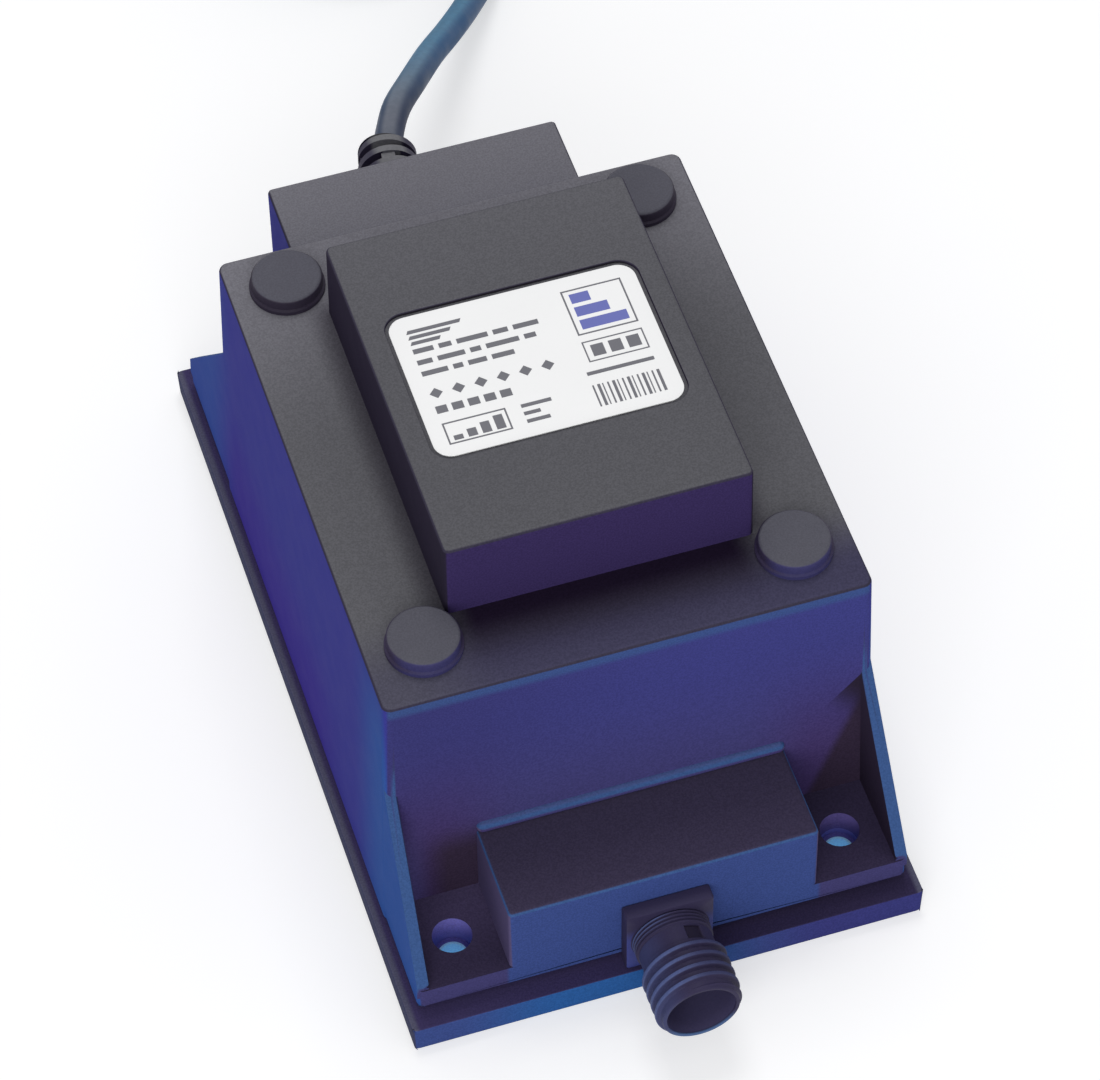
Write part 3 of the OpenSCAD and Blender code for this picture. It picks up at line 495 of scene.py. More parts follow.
# Painted shadow that the right web casts on the wall, and painted shade low between the left web and the box
WALL_SHADOW, SHADE_UP = (0.042, 0.028, 0.056), (0.048, 0.054)
SHADE_RIGHT, SHADE_LEAN = (0.0315, 0.0345), 0.36
SHADE_LEFT, SHADE_LEFT_FADE, SHADE_LEFT_UP = (-0.0322, -0.0318), (-0.046, -0.038), (0.026, 0.038)
# The raised block's front and its label recess, darkened as painted shade, and the socket box's front and the
# foot's front in painted blue light
BLOCK_FRONT, BLOCK_FOOT = (0.045, 0.03, 0.108), (0.0789, 0.0791)
RECESS_SHADE, RECESS_FRONT, RECESS_BACK = (0.018, 0.016, 0.022), (-0.0440, -0.0436), (0.0366, 0.0370)
LOW_FRONT, FOOT_FRONT, BOX_EDGE = (0.049, 0.08, 0.26), (0.062, 0.056, 0.17), (0.0325, 0.0335)
FOREMOST, LOW_TOP = (-0.081, -0.079), (0.055, 0.065)


def cover_wall(w, x, z):
    """The body's front and back wall in painted light and shadow, for a distance x from the middle plane and
    a height z.
    """
    across = w.times(w.rises(w.xyz["X"], WALL_ACROSS), w.step(z, WALL_UP, 0.45, 1))
    wall = w.mix(across, WALL_LEFT, WALL_RIGHT)
    wall = w.mix(w.rises(w.noise(scale=9, detail=3), CLOUDY_NOISE, 0.2), wall, VIOLET)
    lower = w.mix(w.rises(x, LOWER_ACROSS), LOWER_MIDDLE, LOWER_SIDES)
    wall = w.mix(w.falls(z, LOWER_UP, 0.3), wall, lower)
    corner = w.times(w.falls(w.xyz["X"], LEFT_CORNER_ACROSS, 0.4), w.falls(z, LEFT_CORNER_UP))
    wall = w.mix(corner, wall, LEFT_CORNER)
    wall = w.mix(w.rises(z, WALL_TOP, 0.7), wall, RIM_HIGHLIGHT)
    right = w.rises(w.math("SUBTRACT", w.xyz["X"], w.times(z, SHADE_LEAN)), SHADE_RIGHT)
    left = w.times(w.falls(w.xyz["X"], SHADE_LEFT), w.rises(w.xyz["X"], SHADE_LEFT_FADE))
    left = w.times(left, w.falls(z, SHADE_LEFT_UP))
    return w.mix(w.times(w.either(right, left), w.falls(z, SHADE_UP)), wall, WALL_SHADOW)


def cover_ahead(w, x, y, z):
    """The cover's faces that look forwards or back, in painted light and shade."""
    ahead = w.mix(w.rises(z, BLOCK_FOOT), cover_wall(w, x, z), BLOCK_FRONT)
    recess = w.times(w.rises(z, BLOCK_FOOT), w.rises(y, RECESS_FRONT), w.falls(y, RECESS_BACK))
    ahead = w.mix(recess, ahead, RECESS_SHADE)
    foremost = w.times(w.falls(y, FOREMOST), w.falls(z, LOW_TOP))
    return w.mix(foremost, ahead, w.mix(w.rises(x, BOX_EDGE), LOW_FRONT, FOOT_FRONT))


# Cover, the faces that look to a side: the body's walls, the block, and the low pieces before the front wall.
# All in painted light and shade: blue, brightest at the walls' ends and lighter on the socket box's sides,
# and dark on the block's sides and the webs' inner faces
SIDE_BLUE, SIDE_VIOLET = (0.048, 0.049, 0.288), (0.05, 0.034, 0.278)
SIDE_UP, SIDE_BACKWARDS = (0.018, 0.05), (-0.04, -0.01)
SIDE_ENDS, SIDE_FRONT_END, SIDE_BACK_END = (0.037, 0.1, 0.36), (-0.062, -0.04), (0.045, 0.07)
BLOCK_SIDE = (0.027, 0.022, 0.04)
FRONT_WALL, SIDE_WALL = (-0.0636, -0.0634), (0.0495, 0.0505)
BOX_SIDE, WEB_PLACE = (0.11, 0.09, 0.195), (0.036, 0.038)
WEB_IN, WEB_OUT = (0.032, 0.023, 0.045), (0.06, 0.065, 0.22)


def cover_side(w, x, y, z):
    """The cover's faces that look to a side, in painted light and shade."""
    side = w.mix(w.times(w.falls(z, SIDE_UP), w.rises(y, SIDE_BACKWARDS)), SIDE_BLUE, SIDE_VIOLET)
    side = w.mix(w.rises(z, BLOCK_FOOT), side, BLOCK_SIDE)
    outside = w.rises(x, SIDE_WALL)
    low_piece = w.mix(outside, w.mix(w.rises(x, WEB_PLACE), BOX_SIDE, WEB_IN), WEB_OUT)
    side = w.mix(w.times(w.falls(y, FRONT_WALL), w.falls(z, LOW_TOP)), side, low_piece)
    side = w.mix(w.times(w.falls(y, SIDE_FRONT_END), outside), side, SIDE_ENDS)
    return w.mix(w.times(w.rises(y, SIDE_BACK_END, 0.7), outside), side, SIDE_ENDS)


# Cover, the upper faces: painted shadow before the block and beside it, painted light at the back, a painted
# blue shade across the front, and the body's top painted a little lighter than the block's
CHARCOAL, CHARCOAL_LOWER, LIT_CHARCOAL_BACK = (0.108, 0.107, 0.118), (0.122, 0.121, 0.133), (0.19, 0.186, 0.21)
BODY_TOP, BACK_FADE = (0.0797, 0.0799), (0.0, 0.055)
BAND_SHADE, BAND_BACKWARDS, BAND_ACROSS = (0.058, 0.054, 0.1), (-0.058, -0.041), (-0.046, -0.022)
SHADOW = (0.016, 0.01, 0.025)
AHEAD_FADE, AHEAD_END, AHEAD_SIDES = (-0.0625, -0.047), (-0.0446, -0.0444), (0.026, 0.035)
BESIDE_FADE, BESIDE_FRONT, BESIDE_BACK = (0.0315, 0.038), (-0.046, -0.042), (0.036, 0.042)
# The foot's upper face and the tops of the boxes in painted shade tinted blue, lighter on the left and darker
# at the ends, and the bead on the front wall with a painted highlight
LEDGE_LEFT, LEDGE_RIGHT, LEDGE_END = (0.09, 0.07, 0.152), (0.052, 0.041, 0.088), (0.046, 0.036, 0.078)
LEDGE_ENDWARDS, LEDGE_UP, BOX_TOP = (0.067, 0.083), (0.018, 0.026), (0.054, 0.044, 0.083)
BEAD_HIGHLIGHT, BEAD_FOOT, BEAD_UP = (0.068, 0.1, 0.25), (0.0322, 0.0324), (0.039, 0.04)
BEAD_SIDES, BEAD_FRONT = (0.0335, 0.0345), (-0.0675, -0.067)


def cover_upper(w, x, y, z):
    """The cover's upper faces, with painted light, shade and shadow."""
    below = w.falls(z, BODY_TOP)
    upper = w.mix(below, CHARCOAL, CHARCOAL_LOWER)
    upper = w.mix(w.times(w.rises(y, BACK_FADE), w.step(z, BODY_TOP, 1, 0.25)), upper, LIT_CHARCOAL_BACK)
    band = w.times(w.falls(y, BAND_BACKWARDS), w.step(w.xyz["X"], BAND_ACROSS, 0.6, 1), below)
    upper = w.mix(band, upper, BAND_SHADE)
    before = w.times(w.rises(y, AHEAD_FADE), w.falls(y, AHEAD_END), w.falls(x, AHEAD_SIDES))
    upper = w.mix(w.times(before, below), upper, SHADOW)
    beside = w.times(w.falls(x, BESIDE_FADE, 0.55), w.rises(y, BESIDE_FRONT), w.falls(y, BESIDE_BACK))
    upper = w.mix(w.times(beside, below), upper, SHADOW)
    ledge = w.mix(w.rises(w.xyz["X"], MIDDLE), LEDGE_LEFT, LEDGE_RIGHT)
    ledge = w.mix(w.rises(w.size(y), LEDGE_ENDWARDS), ledge, LEDGE_END)
    upper = w.mix(w.falls(z, LOW_TOP), upper, w.mix(w.rises(z, LEDGE_UP), ledge, BOX_TOP))
    bead = w.times(w.rises(z, BEAD_FOOT), w.falls(z, BEAD_UP), w.falls(x, BEAD_SIDES))
    return w.mix(w.times(bead, w.rises(y, BEAD_FRONT), w.falls(y, FRONT_WALL)), upper, BEAD_HIGHLIGHT)


# Cover, what joins upright and upper faces: the rounded edges, in painted shade up high and with a painted
# highlight low down, and the walls of the wide holes in painted pale blue light
EDGE, EDGE_TILT, UPPER_TILT = (0.045, 0.04, 0.065), (0.1, 0.4), (0.65, 0.92)
LIT_HOLE_WALL, LIT_HOLE_WALL_RIGHT, WIDE_HOLE = (0.19, 0.175, 0.53), (0.13, 0.1, 0.3), (0.0043, 0.0045)
SIDE_GRAIN = (0.5, 0.9)


def cover_plastic():
    """Charcoal above and painted blue light on the upright faces, as the object looks in its two-coloured
    studio light.
    """
    mat, w = material("cover_plastic_look", 0.62, 0.01)
    x, y, z = w.size(w.xyz["X"]), w.xyz["Y"], w.xyz["Z"]
    up, sideways, low = w.facing["Z"], w.size(w.facing["X"]), w.falls(z, LOW_TOP)
    upright = w.mix(w.rises(sideways, TO_SIDE), cover_ahead(w, x, y, z), cover_side(w, x, y, z))
    rim = w.mix(w.rises(up, EDGE_TILT), upright, w.mix(low, EDGE, RIM_HIGHLIGHT))
    hole = w.times(w.falls(w.off_fixing_hole(), WIDE_HOLE), low)
    rim = w.mix(hole, rim, w.mix(w.rises(w.xyz["X"], MIDDLE), LIT_HOLE_WALL, LIT_HOLE_WALL_RIGHT))
    colour = w.mix(w.rises(up, UPPER_TILT), rim, cover_upper(w, x, y, z))
    grained(w, colour, w.step(sideways, SIDE_GRAIN, 1, 0.35), 0.62)
    return mat


# Base plate: its upper face in painted shade, the strip beside the foot painted lighter as lit, its edges in
# painted blue light, and the fixing holes with a painted light that glows faintly
PLATE_TOP, PLATE_TOP_RIGHT, PLATE_RIGHTWARDS = (0.052, 0.041, 0.112), (0.036, 0.028, 0.07), (-0.01, 0.03)
PLATE_STRIP, STRIP_PLACE = (0.1, 0.098, 0.152), (0.0525, 0.0537)
PLATE_SIDE, PLATE_UP = (0.055, 0.06, 0.12), (0.55, 0.9)
LOW_MIDDLE, LOW_MIDDLE_X, LOW_MIDDLE_FADE = (0.028, 0.115, 0.35), -0.012, (0.01, 0.035)
LOW_RIGHT = (0.045, 0.047, 0.2)
# Painted light in the fixing holes, glowing faintly, for the lit ground seen through them
PAINTED_HOLE_LIGHT, PAINTED_HOLE_LIGHT_EDGE = (0.4, 0.75, 0.95), (0.003, 0.0032)
PAINTED_HOLE_GLOW, PAINTED_HOLE_GLOW_STRENGTH = (0.3, 0.6, 0.9), 0.15
HOLE_SHADE = (0.0045, 0.0048)


def plate_plastic():
    """Painted blue light on the front edge, and in the fixing holes a faintly glowing painted light for the
    pale ground.
    """
    mat, w = material("plate_plastic_look", 0.62, 0.01)
    x, hole = w.xyz["X"], w.off_fixing_hole()
    middle = w.falls(w.size(w.math("SUBTRACT", x, LOW_MIDDLE_X)), LOW_MIDDLE_FADE)
    ahead = w.mix(middle, LOW_FRONT, LOW_MIDDLE)
    ahead = w.mix(w.rises(x, LOW_MIDDLE_FADE), ahead, LOW_RIGHT)
    upright = w.mix(w.rises(w.size(w.facing["X"]), TO_SIDE), ahead, PLATE_SIDE)
    top = w.mix(w.rises(x, PLATE_RIGHTWARDS), PLATE_TOP, PLATE_TOP_RIGHT)
    top = w.mix(w.rises(w.size(x), STRIP_PLACE), top, PLATE_STRIP)
    upper = w.mix(w.rises(hole, HOLE_SHADE), LIT_HOLE_WALL, top)
    hole_light = w.falls(hole, PAINTED_HOLE_LIGHT_EDGE)
    colour = w.mix(w.rises(w.facing["Z"], PLATE_UP), upright, upper)
    grained(w, w.mix(hole_light, colour, PAINTED_HOLE_LIGHT), 1.0, 0.62)
    w.glow(PAINTED_HOLE_GLOW, w.times(hole_light, PAINTED_HOLE_GLOW_STRENGTH))
    return mat


# Screw caps: their flanks from front to back, in painted shade and painted blue light, and their tops
CAP_FRONT, CAP_FLANK = (0.045, 0.042, 0.13), (0.034, 0.026, 0.06)
CAP_BACK, CAP_TOP = (0.027, 0.021, 0.038), (0.085, 0.084, 0.106)
CAP_TURN, CAP_BACKWARDS, CAP_TILT, CAP_UP = (-0.8, -0.2), (-0.02, 0.02), (0.45, 0.85), (0.0812, 0.0816)


def cap_plastic():
    """Charcoal on the caps' tops, painted shade on their flanks, and painted blue light towards the front."""
    mat, w = material("cap_plastic_look", 0.55, 0.15)
    flank = w.mix(w.rises(w.facing["Y"], CAP_TURN), CAP_FRONT, CAP_FLANK)
    flank = w.mix(w.rises(w.xyz["Y"], CAP_BACKWARDS), flank, CAP_BACK)
    top = w.times(w.rises(w.facing["Z"], CAP_TILT), w.rises(w.xyz["Z"], CAP_UP))
    grained(w, w.mix(top, flank, CAP_TOP), 0.7, 0.55)
    return mat


def outwards(far, near):
    """A run along the socket's axis, from two places in millimetres out from the box's face."""
    return (SOCKET_FACE - far) * MM, (SOCKET_FACE - near) * MM


# Output socket: distances from its axis and places across it in metres
# Painted light: highlights on the crests, the ridges and the mouth's rim, blue light on the flange's face,
# and shade on the right, towards the box and on the flange's upper part
SOCKET_LIGHT, SOCKET_LIGHT_RIGHT, LIGHT_ACROSS = (0.085, 0.11, 0.25), (0.046, 0.05, 0.12), (-0.005, 0.003)
SOCKET_FLANK, SOCKET_DARK, DARK_ACROSS = (0.05, 0.056, 0.14), (0.036, 0.03, 0.072), (-0.0085, -0.002)
SOCKET_BASE, SOCKET_NOTCH = outwards(7.2, 6.7), (0.018, 0.014, 0.032)
THREAD_CREST, THREAD_RUN = (0.0088, 0.0091), outwards(11.7, 10.2)
RIDGE_CREST, RIDGE_ACROSS = (0.0079, 0.0081), (-0.004, 0.001)
RIDGE_RUN, RIDGE_END = outwards(6.8, 3.6), outwards(3.6, 3.5)
FLANGE_BLUE, FLANGE_UP, FLANGE_OUT = (0.045, 0.055, 0.22), (0.016, 0.021), (0.0082, 0.0084)
FLANGE_FACE, FLANGE_EDGE = outwards(3.9, 3.5), outwards(3.3, 3.1)
MOUTH_RIM_HIGHLIGHT, MOUTH_RIM, MOUTH_RIM_UP = (0.07, 0.13, 0.28), outwards(23.1, 22.7), (0.009, 0.014)
INSIDE, INSIDE_WALL = (0.062, 0.055, 0.125), (0.0073, 0.0076)
INSIDE_MOUTH, INSIDE_FLOOR = outwards(22.8, 22.5), outwards(10.8, 10.5)


def socket_plastic():
    """Dark violet in painted light and shade: highlights on the thread's crests and the mouth's rim, blue on
    the flange.
    """
    mat, w = material("socket_plastic_look", 0.5, 0.1)
    x, along, z = w.xyz["X"], w.xyz["Y"], w.xyz["Z"]
    out = w.off_axis(x, z, 0.0, SOCKET_Z * MM)
    within = w.falls(out, INSIDE_WALL)
    # the dark parts in painted shade, bluer on the left and darkest in the notch and the bore, then the
    # painted highlights on the thread's crests and the fine ridges
    dark = w.mix(w.rises(x, DARK_ACROSS), SOCKET_FLANK, SOCKET_DARK)
    dark = w.mix(w.rises(along, SOCKET_BASE), dark, SOCKET_DARK)
    dark = w.mix(w.times(within, w.rises(along, INSIDE_FLOOR)), dark, SOCKET_NOTCH)
    crest = w.times(w.rises(out, THREAD_CREST), w.falls(along, THREAD_RUN))
    ridges = w.times(w.rises(along, RIDGE_RUN), w.falls(along, RIDGE_END))
    fine = w.times(w.rises(out, RIDGE_CREST), ridges, w.falls(x, RIDGE_ACROSS))
    light = w.mix(w.rises(x, LIGHT_ACROSS), SOCKET_LIGHT, SOCKET_LIGHT_RIGHT)
    colour = w.mix(w.either(crest, fine), dark, light)
    # the flange's face in painted blue light, the inside of the mouth, and a painted highlight on its rim
    flange = w.times(w.falls(along, FLANGE_EDGE), w.rises(along, FLANGE_FACE), w.rises(out, FLANGE_OUT))
    colour = w.mix(w.times(flange, w.falls(z, FLANGE_UP)), colour, FLANGE_BLUE)
    inside = w.times(within, w.rises(along, INSIDE_MOUTH), w.falls(along, INSIDE_FLOOR))
    colour = w.mix(inside, colour, INSIDE)
    rim = w.times(w.falls(along, MOUTH_RIM), w.falls(z, MOUTH_RIM_UP))
    grained(w, w.mix(rim, colour, MOUTH_RIM_HIGHLIGHT), 0.4, 0.5)
    return mat


def skin(w, colour, rough, scale, depth=0.00005):
    """The dull, slightly uneven skin of rubber."""
    w.colour(colour)
    w.rough(w.step(w.noise(scale=140), EVEN_NOISE, rough - 0.08, rough + 0.08))
    w.bump(w.noise(scale), depth, strength=0.5)


def rubber(name, dark, light, scale=1800, rough=0.6):
    mat, w = material(name, rough, 0.3)
    skin(w, w.mix(w.rises(w.noise(scale, detail=3), PATCHY_NOISE), dark, light), rough, scale * 1.5)
    return mat


def metal(name, colour, rough):
    mat, w = material(name, rough, 0.5, 1.0)
    lines = w.noise(scale=900, detail=3)
    w.colour(w.mix(w.rises(lines, EVEN_NOISE, 0.25), colour, tuple(c * 0.6 for c in colour)))
    w.rough(w.step(lines, EVEN_NOISE, rough - 0.08, rough + 0.1))
    w.bump(lines, depth=0.00003, strength=0.4)
    return mat


def film(name, colour, rough=0.35):
    mat, w = material(name, rough, 0.4)
    cloudy = w.rises(w.noise(scale=60, detail=3), EVEN_NOISE, 0.06)
    w.colour(w.mix(cloudy, colour, tuple(c * 0.8 for c in colour)))
    w.bump(w.noise(scale=500), depth=0.00003, strength=0.3)
    return mat


def layered_sheet(name, dark, light, axis, pitch, metallic=1.0, rough=0.4):
    """Fine lines a pitch apart, as on a stack of sheets or a layer of wire."""
    mat, w = material(name, rough, 0.5, metallic)
    lines = w.waves(pitch, axis)
    w.colour(w.mix(lines, dark, light))
    w.rough(w.step(w.noise(scale=300), EVEN_NOISE, rough - 0.06, rough + 0.1))
    w.bump(lines, depth=pitch * 0.2, strength=0.6)
    return mat


# Cord: colours near the guard, further off, and past what the photograph shows
# All painted light and shade: greyer on top as lit, painted blue light on the left flank, darker shade on the
# right
CORD_FAR, CORD_UNSEEN = (0.12, 0.155), (0.17, 0.24)
CORD_TOP, CORD_TOP_FAR, CORD_TOP_UNSEEN = (0.155, 0.17, 0.21), (0.1, 0.235, 0.37), (0.1, 0.13, 0.19)
CORD_LEFT, CORD_LEFT_FAR, CORD_LEFT_UNSEEN = (0.03, 0.05, 0.1), (0.1, 0.22, 0.35), (0.05, 0.12, 0.2)
CORD_RIGHT, CORD_RIGHT_FAR, CORD_MOTTLE = (0.02, 0.032, 0.075), (0.024, 0.085, 0.2), (0.06, 0.07, 0.1)
CORD_LEFT_TURN, CORD_RIGHT_TURN = (-0.6, -0.15), (0.28, 0.8)


def cord_rubber():
    """Smooth rubber in painted light and shade: greyer on top, blue on one flank and darker on the other."""
    mat, w = material("cord_rubber_look", 0.5, 0.2)
    far, unseen = w.rises(w.xyz["Y"], CORD_FAR), w.rises(w.xyz["Y"], CORD_UNSEEN)
    top = w.mix(unseen, w.mix(far, CORD_TOP, CORD_TOP_FAR), CORD_TOP_UNSEEN)
    top = w.mix(w.rises(w.noise(scale=700, detail=3), PATCHY_NOISE, 0.15), top, CORD_MOTTLE)
    left = w.mix(unseen, w.mix(far, CORD_LEFT, CORD_LEFT_FAR), CORD_LEFT_UNSEEN)
    right = w.mix(far, CORD_RIGHT, CORD_RIGHT_FAR)
    flank = w.mix(w.rises(w.facing["X"], CORD_LEFT_TURN), left, top)
    skin(w, w.mix(w.rises(w.facing["X"], CORD_RIGHT_TURN), flank, right), 0.5, 1600, depth=0.00004)
    return mat


# Cord guard: grey along its middle, where the webs between the ribs show, and dark further out
# Faces that look up are painted lighter as lit, most along the middle, and the rest painted dark as shade
GUARD_X, GUARD_MIDDLE, GUARD_TILT = 0.0012, (0.0025, 0.0045), (0.45, 0.8)
GUARD_GREY, GUARD_LIGHT = (0.17, 0.17, 0.18), (0.195, 0.195, 0.205)
GUARD_OUTER, GUARD_DARK = (0.048, 0.044, 0.072), (0.034, 0.028, 0.056)
GUARD_LAST, GUARD_LAST_HALF, GUARD_WEB_HALF = (0.1083, 0.1087), (0.0028, 0.0038), (0.0016, 0.0022)


def relief_rubber():
    """Ribs in painted shade, with a lighter middle on top in painted light."""
    mat, w = material("relief_rubber_look", 0.6, 0.2)
    off = w.size(w.math("SUBTRACT", w.xyz["X"], GUARD_X))
    top = w.mix(w.rises(w.noise(scale=1500, detail=3), PATCHY_NOISE), GUARD_GREY, GUARD_LIGHT)
    top = w.mix(w.rises(off, GUARD_MIDDLE), top, GUARD_OUTER)
    last = w.times(w.rises(w.xyz["Y"], GUARD_LAST), w.falls(off, GUARD_LAST_HALF))
    web = w.either(last, w.falls(off, GUARD_WEB_HALF))
    light = w.either(w.rises(w.facing["Z"], GUARD_TILT), web)
    skin(w, w.mix(light, GUARD_DARK, top), 0.6, 2700)
    return mat


# Gasket: its own shades, and how far from a fixing hole's axis they begin
GASKET_DARK, GASKET_LIGHT, GASKET_HOLE = (0.01, 0.01, 0.014), (0.02, 0.02, 0.026), (0.0046, 0.005)


def gasket_rubber():
    """Near black, and painted pale blue light round the fixing holes like their walls."""
    mat, w = material("gasket_rubber_look", 0.6, 0.2)
    dull = w.mix(w.rises(w.noise(scale=1800, detail=3), PATCHY_NOISE), GASKET_DARK, GASKET_LIGHT)
    skin(w, w.mix(w.rises(w.off_fixing_hole(), GASKET_HOLE), LIT_HOLE_WALL, dull), 0.6, 2700)
    return mat


CORD, SOCKET = cord_rubber(), socket_plastic()
INK = film("label_ink_look", (0.13, 0.13, 0.15), 0.4)
BLUE_INK = film("label_blue_ink_look", (0.12, 0.14, 0.45), 0.4)
LOOKS = {
    "cover_plastic": cover_plastic(), "plate_plastic": plate_plastic(), "cap_plastic": cap_plastic(),
    "socket_plastic": SOCKET, "cord_rubber": CORD, "relief_rubber": relief_rubber(),
    "gasket_rubber": gasket_rubber(), "label_film": film("label_film_look", (0.95, 0.948, 0.94)),
    "plug_rubber": rubber("plug_rubber_look", (0.03, 0.033, 0.045), (0.045, 0.05, 0.065), 1500, 0.5),
    "insert_plastic": rubber("insert_plastic_look", (0.012, 0.012, 0.014), (0.02, 0.02, 0.024), 2500, 0.45),
    "contact_brass": metal("contact_brass_look", (0.78, 0.6, 0.28), 0.28),
    "screw_steel": metal("screw_steel_look", (0.6, 0.6, 0.62), 0.3),
    "core_steel": layered_sheet("core_steel_look", (0.2, 0.2, 0.21), (0.42, 0.43, 0.45), "Z", 0.0005),
    "winding_copper": layered_sheet("winding_copper_look", (0.3, 0.08, 0.03), (0.72, 0.3, 0.12), "X", 0.0006,
                                    0.8, 0.3),
    "bobbin_plastic": film("bobbin_plastic_look", (0.8, 0.76, 0.64), 0.5),
    "tape": film("tape_look", (0.75, 0.52, 0.1), 0.25),
    "cutout_plastic": film("cutout_plastic_look", (0.75, 0.72, 0.64), 0.5),
    "lead_brown": rubber("lead_brown_look", (0.07, 0.03, 0.015), (0.09, 0.04, 0.02)),
    "lead_blue": rubber("lead_blue_look", (0.01, 0.04, 0.25), (0.015, 0.05, 0.3)),
    "lead_black": rubber("lead_black_look", (0.01, 0.01, 0.01), (0.02, 0.02, 0.02)),
}

# CAD nodes: modifiers join corners, round small edges and shade by face size, and no vertex is moved by hand.
# Edges stay sharp near a screw well or a fixing hole, along the foot's top and where the webs end on it.
WELL_X, WELL_FRONT_Y, WELL_BACK_Y = 0.0379, -0.0506, 0.0459
SCREW_WELLS = [(sx * WELL_X, y) for sx in (-1, 1) for y in (WELL_FRONT_Y, WELL_BACK_Y)]
FIXING_HOLES = [(sx * FIXING_X, sy * FIXING_Y) for sx in (-1, 1) for sy in (-1, 1)]
NEAR_HOLE = 0.006
FOOT_TOP, FOOT_TOP_NEAR = 0.0136, 0.0002
WEB_END_Z, WEB_END_X = (0.0134, 0.0165), 0.0475
# Angles in degrees from which an edge counts as sharp, on a node with rounded edges and on any other
SHARP_IF_ROUNDED, SHARP_IF_PLAIN = 38, 50
SAME_PLACE, PLACES_A_METRE = 1e-6, 1e6
# Width of the rounded edges in millimetres
EDGES = {"base_plate": 0.35, "housing_cover": 0.3, "cord_tie": 0.15, "plug_body": 1.2, "rating_label": 0.06}
EDGE_SEGMENTS = 2


def stays_sharp(middle):
    """Whether an edge with this middle is kept from rounding."""
    by_hole = any(math.dist(middle[:2], hole) < NEAR_HOLE for hole in SCREW_WELLS + FIXING_HOLES)
    by_web = WEB_END_Z[0] < middle[2] < WEB_END_Z[1] and abs(middle[0]) > WEB_END_X
    return by_hole or by_web or abs(middle[2] - FOOT_TOP) < FOOT_TOP_NEAR


def mark_edges(mesh, rounded):
    """Where two faces meet sharply: weight 1 on an outward edge to be rounded, and sharp on any other."""
    limit = math.radians(SHARP_IF_ROUNDED if rounded else SHARP_IF_PLAIN)
    place = [tuple(round(c * PLACES_A_METRE) for c in v.co) for v in mesh.vertices]
    sides = {}
    for face in mesh.polygons:
        for a, b in face.edge_keys:
            sides.setdefault(frozenset((place[a], place[b])), []).append(face)
    weights = mesh.attributes.new("bevel_weight_edge", "FLOAT", "EDGE")
    for i, edge in enumerate(mesh.edges):
        a, b = edge.vertices
        faces = sides[frozenset((place[a], place[b]))]
        if len(faces) != 2 or faces[0].normal.angle(faces[1].normal, 0.0) < limit:
            continue
        middle = (mesh.vertices[a].co + mesh.vertices[b].co) / 2
        outward = (faces[1].center - middle).dot(faces[0].normal) < 0
        if rounded and outward and not stays_sharp(middle):
            weights.data[i].value = 1.0
        else:
            edge.use_edge_sharp = True


def dress(name, look, edge):
    """Gives a CAD node its look, with edges rounded over a width in millimetres if there is one."""
    node = nodes[name]
    mesh = node.data
    for attribute in ("custom_normal", "sharp_edge", "sharp_face"):
        if attribute in mesh.attributes:
            mesh.attributes.remove(mesh.attributes[attribute])
    mesh.materials.clear()
    mesh.materials.append(look)
    mark_edges(mesh, edge > 0)
    weld = node.modifiers.new("weld", "WELD")
    weld.merge_threshold = SAME_PLACE
    if edge:
        bevel = node.modifiers.new("edges", "BEVEL")
        bevel.width = edge * MM
        bevel.segments = EDGE_SEGMENTS
        bevel.limit_method = "WEIGHT"
        bevel.use_clamp_overlap = False
        bevel.miter_outer = "MITER_ARC"
    normals = node.modifiers.new("normals", "WEIGHTED_NORMAL")
    normals.keep_sharp = True


for part in frame["record"]["subparts"]:
    dress(part["node"], LOOKS[part["material_slot"]], EDGES.get(part["node"], 0.0))
for piece, look in ((cord, CORD), (socket, SOCKET), (print_dark, INK), (print_blue, BLUE_INK)):
    piece.data.materials.append(look)


# Floor, backdrop and lamps
FLOOR_HALF, FLOOR_GLOW = 6.0, 0.5
WHITE, PALE_SKY, SKY_STRENGTH = (1.0, 1.0, 1.0), (0.96, 0.97, 1.0), 0.47


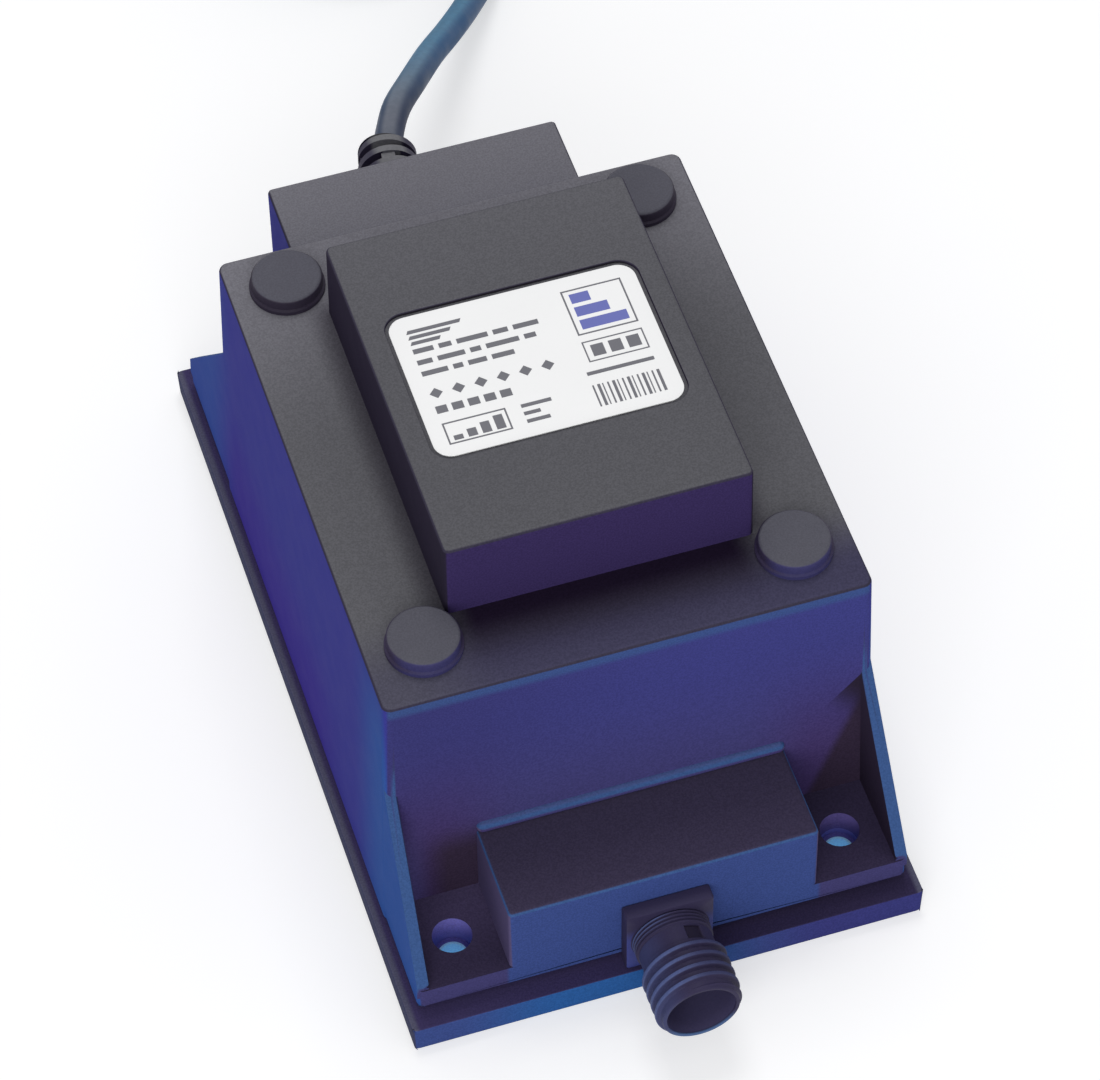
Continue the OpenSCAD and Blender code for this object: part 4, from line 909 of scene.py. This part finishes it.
def seen_or_mirrored(w):
    """One where a camera ray, a reflection or a view through glass meets the surface."""
    path = w.node("ShaderNodeLightPath")
    seen = w.math("ADD", path.outputs["Is Camera Ray"], path.outputs["Is Glossy Ray"])
    return w.math("ADD", seen, path.outputs["Is Transmission Ray"], clamp=True)


def make_floor():
    """A plain pale floor that glows only where it is seen or mirrored."""
    mesh = bpy.data.meshes.new("floor")
    corners = [(x * FLOOR_HALF, y * FLOOR_HALF, 0) for x, y in ((-1, -1), (1, -1), (1, 1), (-1, 1))]
    mesh.from_pydata(corners, [], [(0, 1, 2, 3)])
    floor = bpy.data.objects.new("floor", mesh)
    scene.collection.objects.link(floor)
    mat, w = material("floor_look", 0.9, 0.0)
    w.colour(w.mix(w.noise(scale=8, detail=3), (0.6, 0.6, 0.605), (0.62, 0.62, 0.62)))
    w.glow(WHITE, w.times(seen_or_mirrored(w), FLOOR_GLOW))
    mesh.materials.append(mat)


def make_world():
    """Pale light all round, and white where it is seen or mirrored past the floor."""
    world = bpy.data.worlds.new("studio")
    world.use_nodes = True
    w = Wiring(world.node_tree, None)
    light = world.node_tree.nodes["Background"]
    light.inputs["Color"].default_value = (*PALE_SKY, 1.0)
    light.inputs["Strength"].default_value = SKY_STRENGTH
    white = w.node("ShaderNodeBackground")
    white.inputs["Color"].default_value = (*WHITE, 1.0)
    mix = w.node("ShaderNodeMixShader")
    for socket_in, value in zip(mix.inputs, (seen_or_mirrored(w), light.outputs[0], white.outputs[0])):
        w.put(socket_in, value)
    w.put(world.node_tree.nodes["World Output"].inputs["Surface"], mix.outputs[0])
    scene.world = world


def make_lamp(name, place, aim, watts, size):
    data = bpy.data.lights.new(name, "AREA")
    data.energy, data.size = watts, size
    lamp = bpy.data.objects.new(name, data)
    lamp.location = place
    lamp.rotation_euler = (Vector(aim) - Vector(place)).to_track_quat("-Z", "Y").to_euler()
    scene.collection.objects.link(lamp)


make_floor()
make_world()
make_lamp("key", place=(0.05, 0.4, 1.15), aim=(0, 0, 0.05), watts=3.9, size=0.5)
make_lamp("fill", place=(-0.5, -1.4, 0.8), aim=(0, 0, 0.05), watts=13, size=1.2)
scene.view_settings.view_transform = "Standard"

bpy.context.view_layer.update()
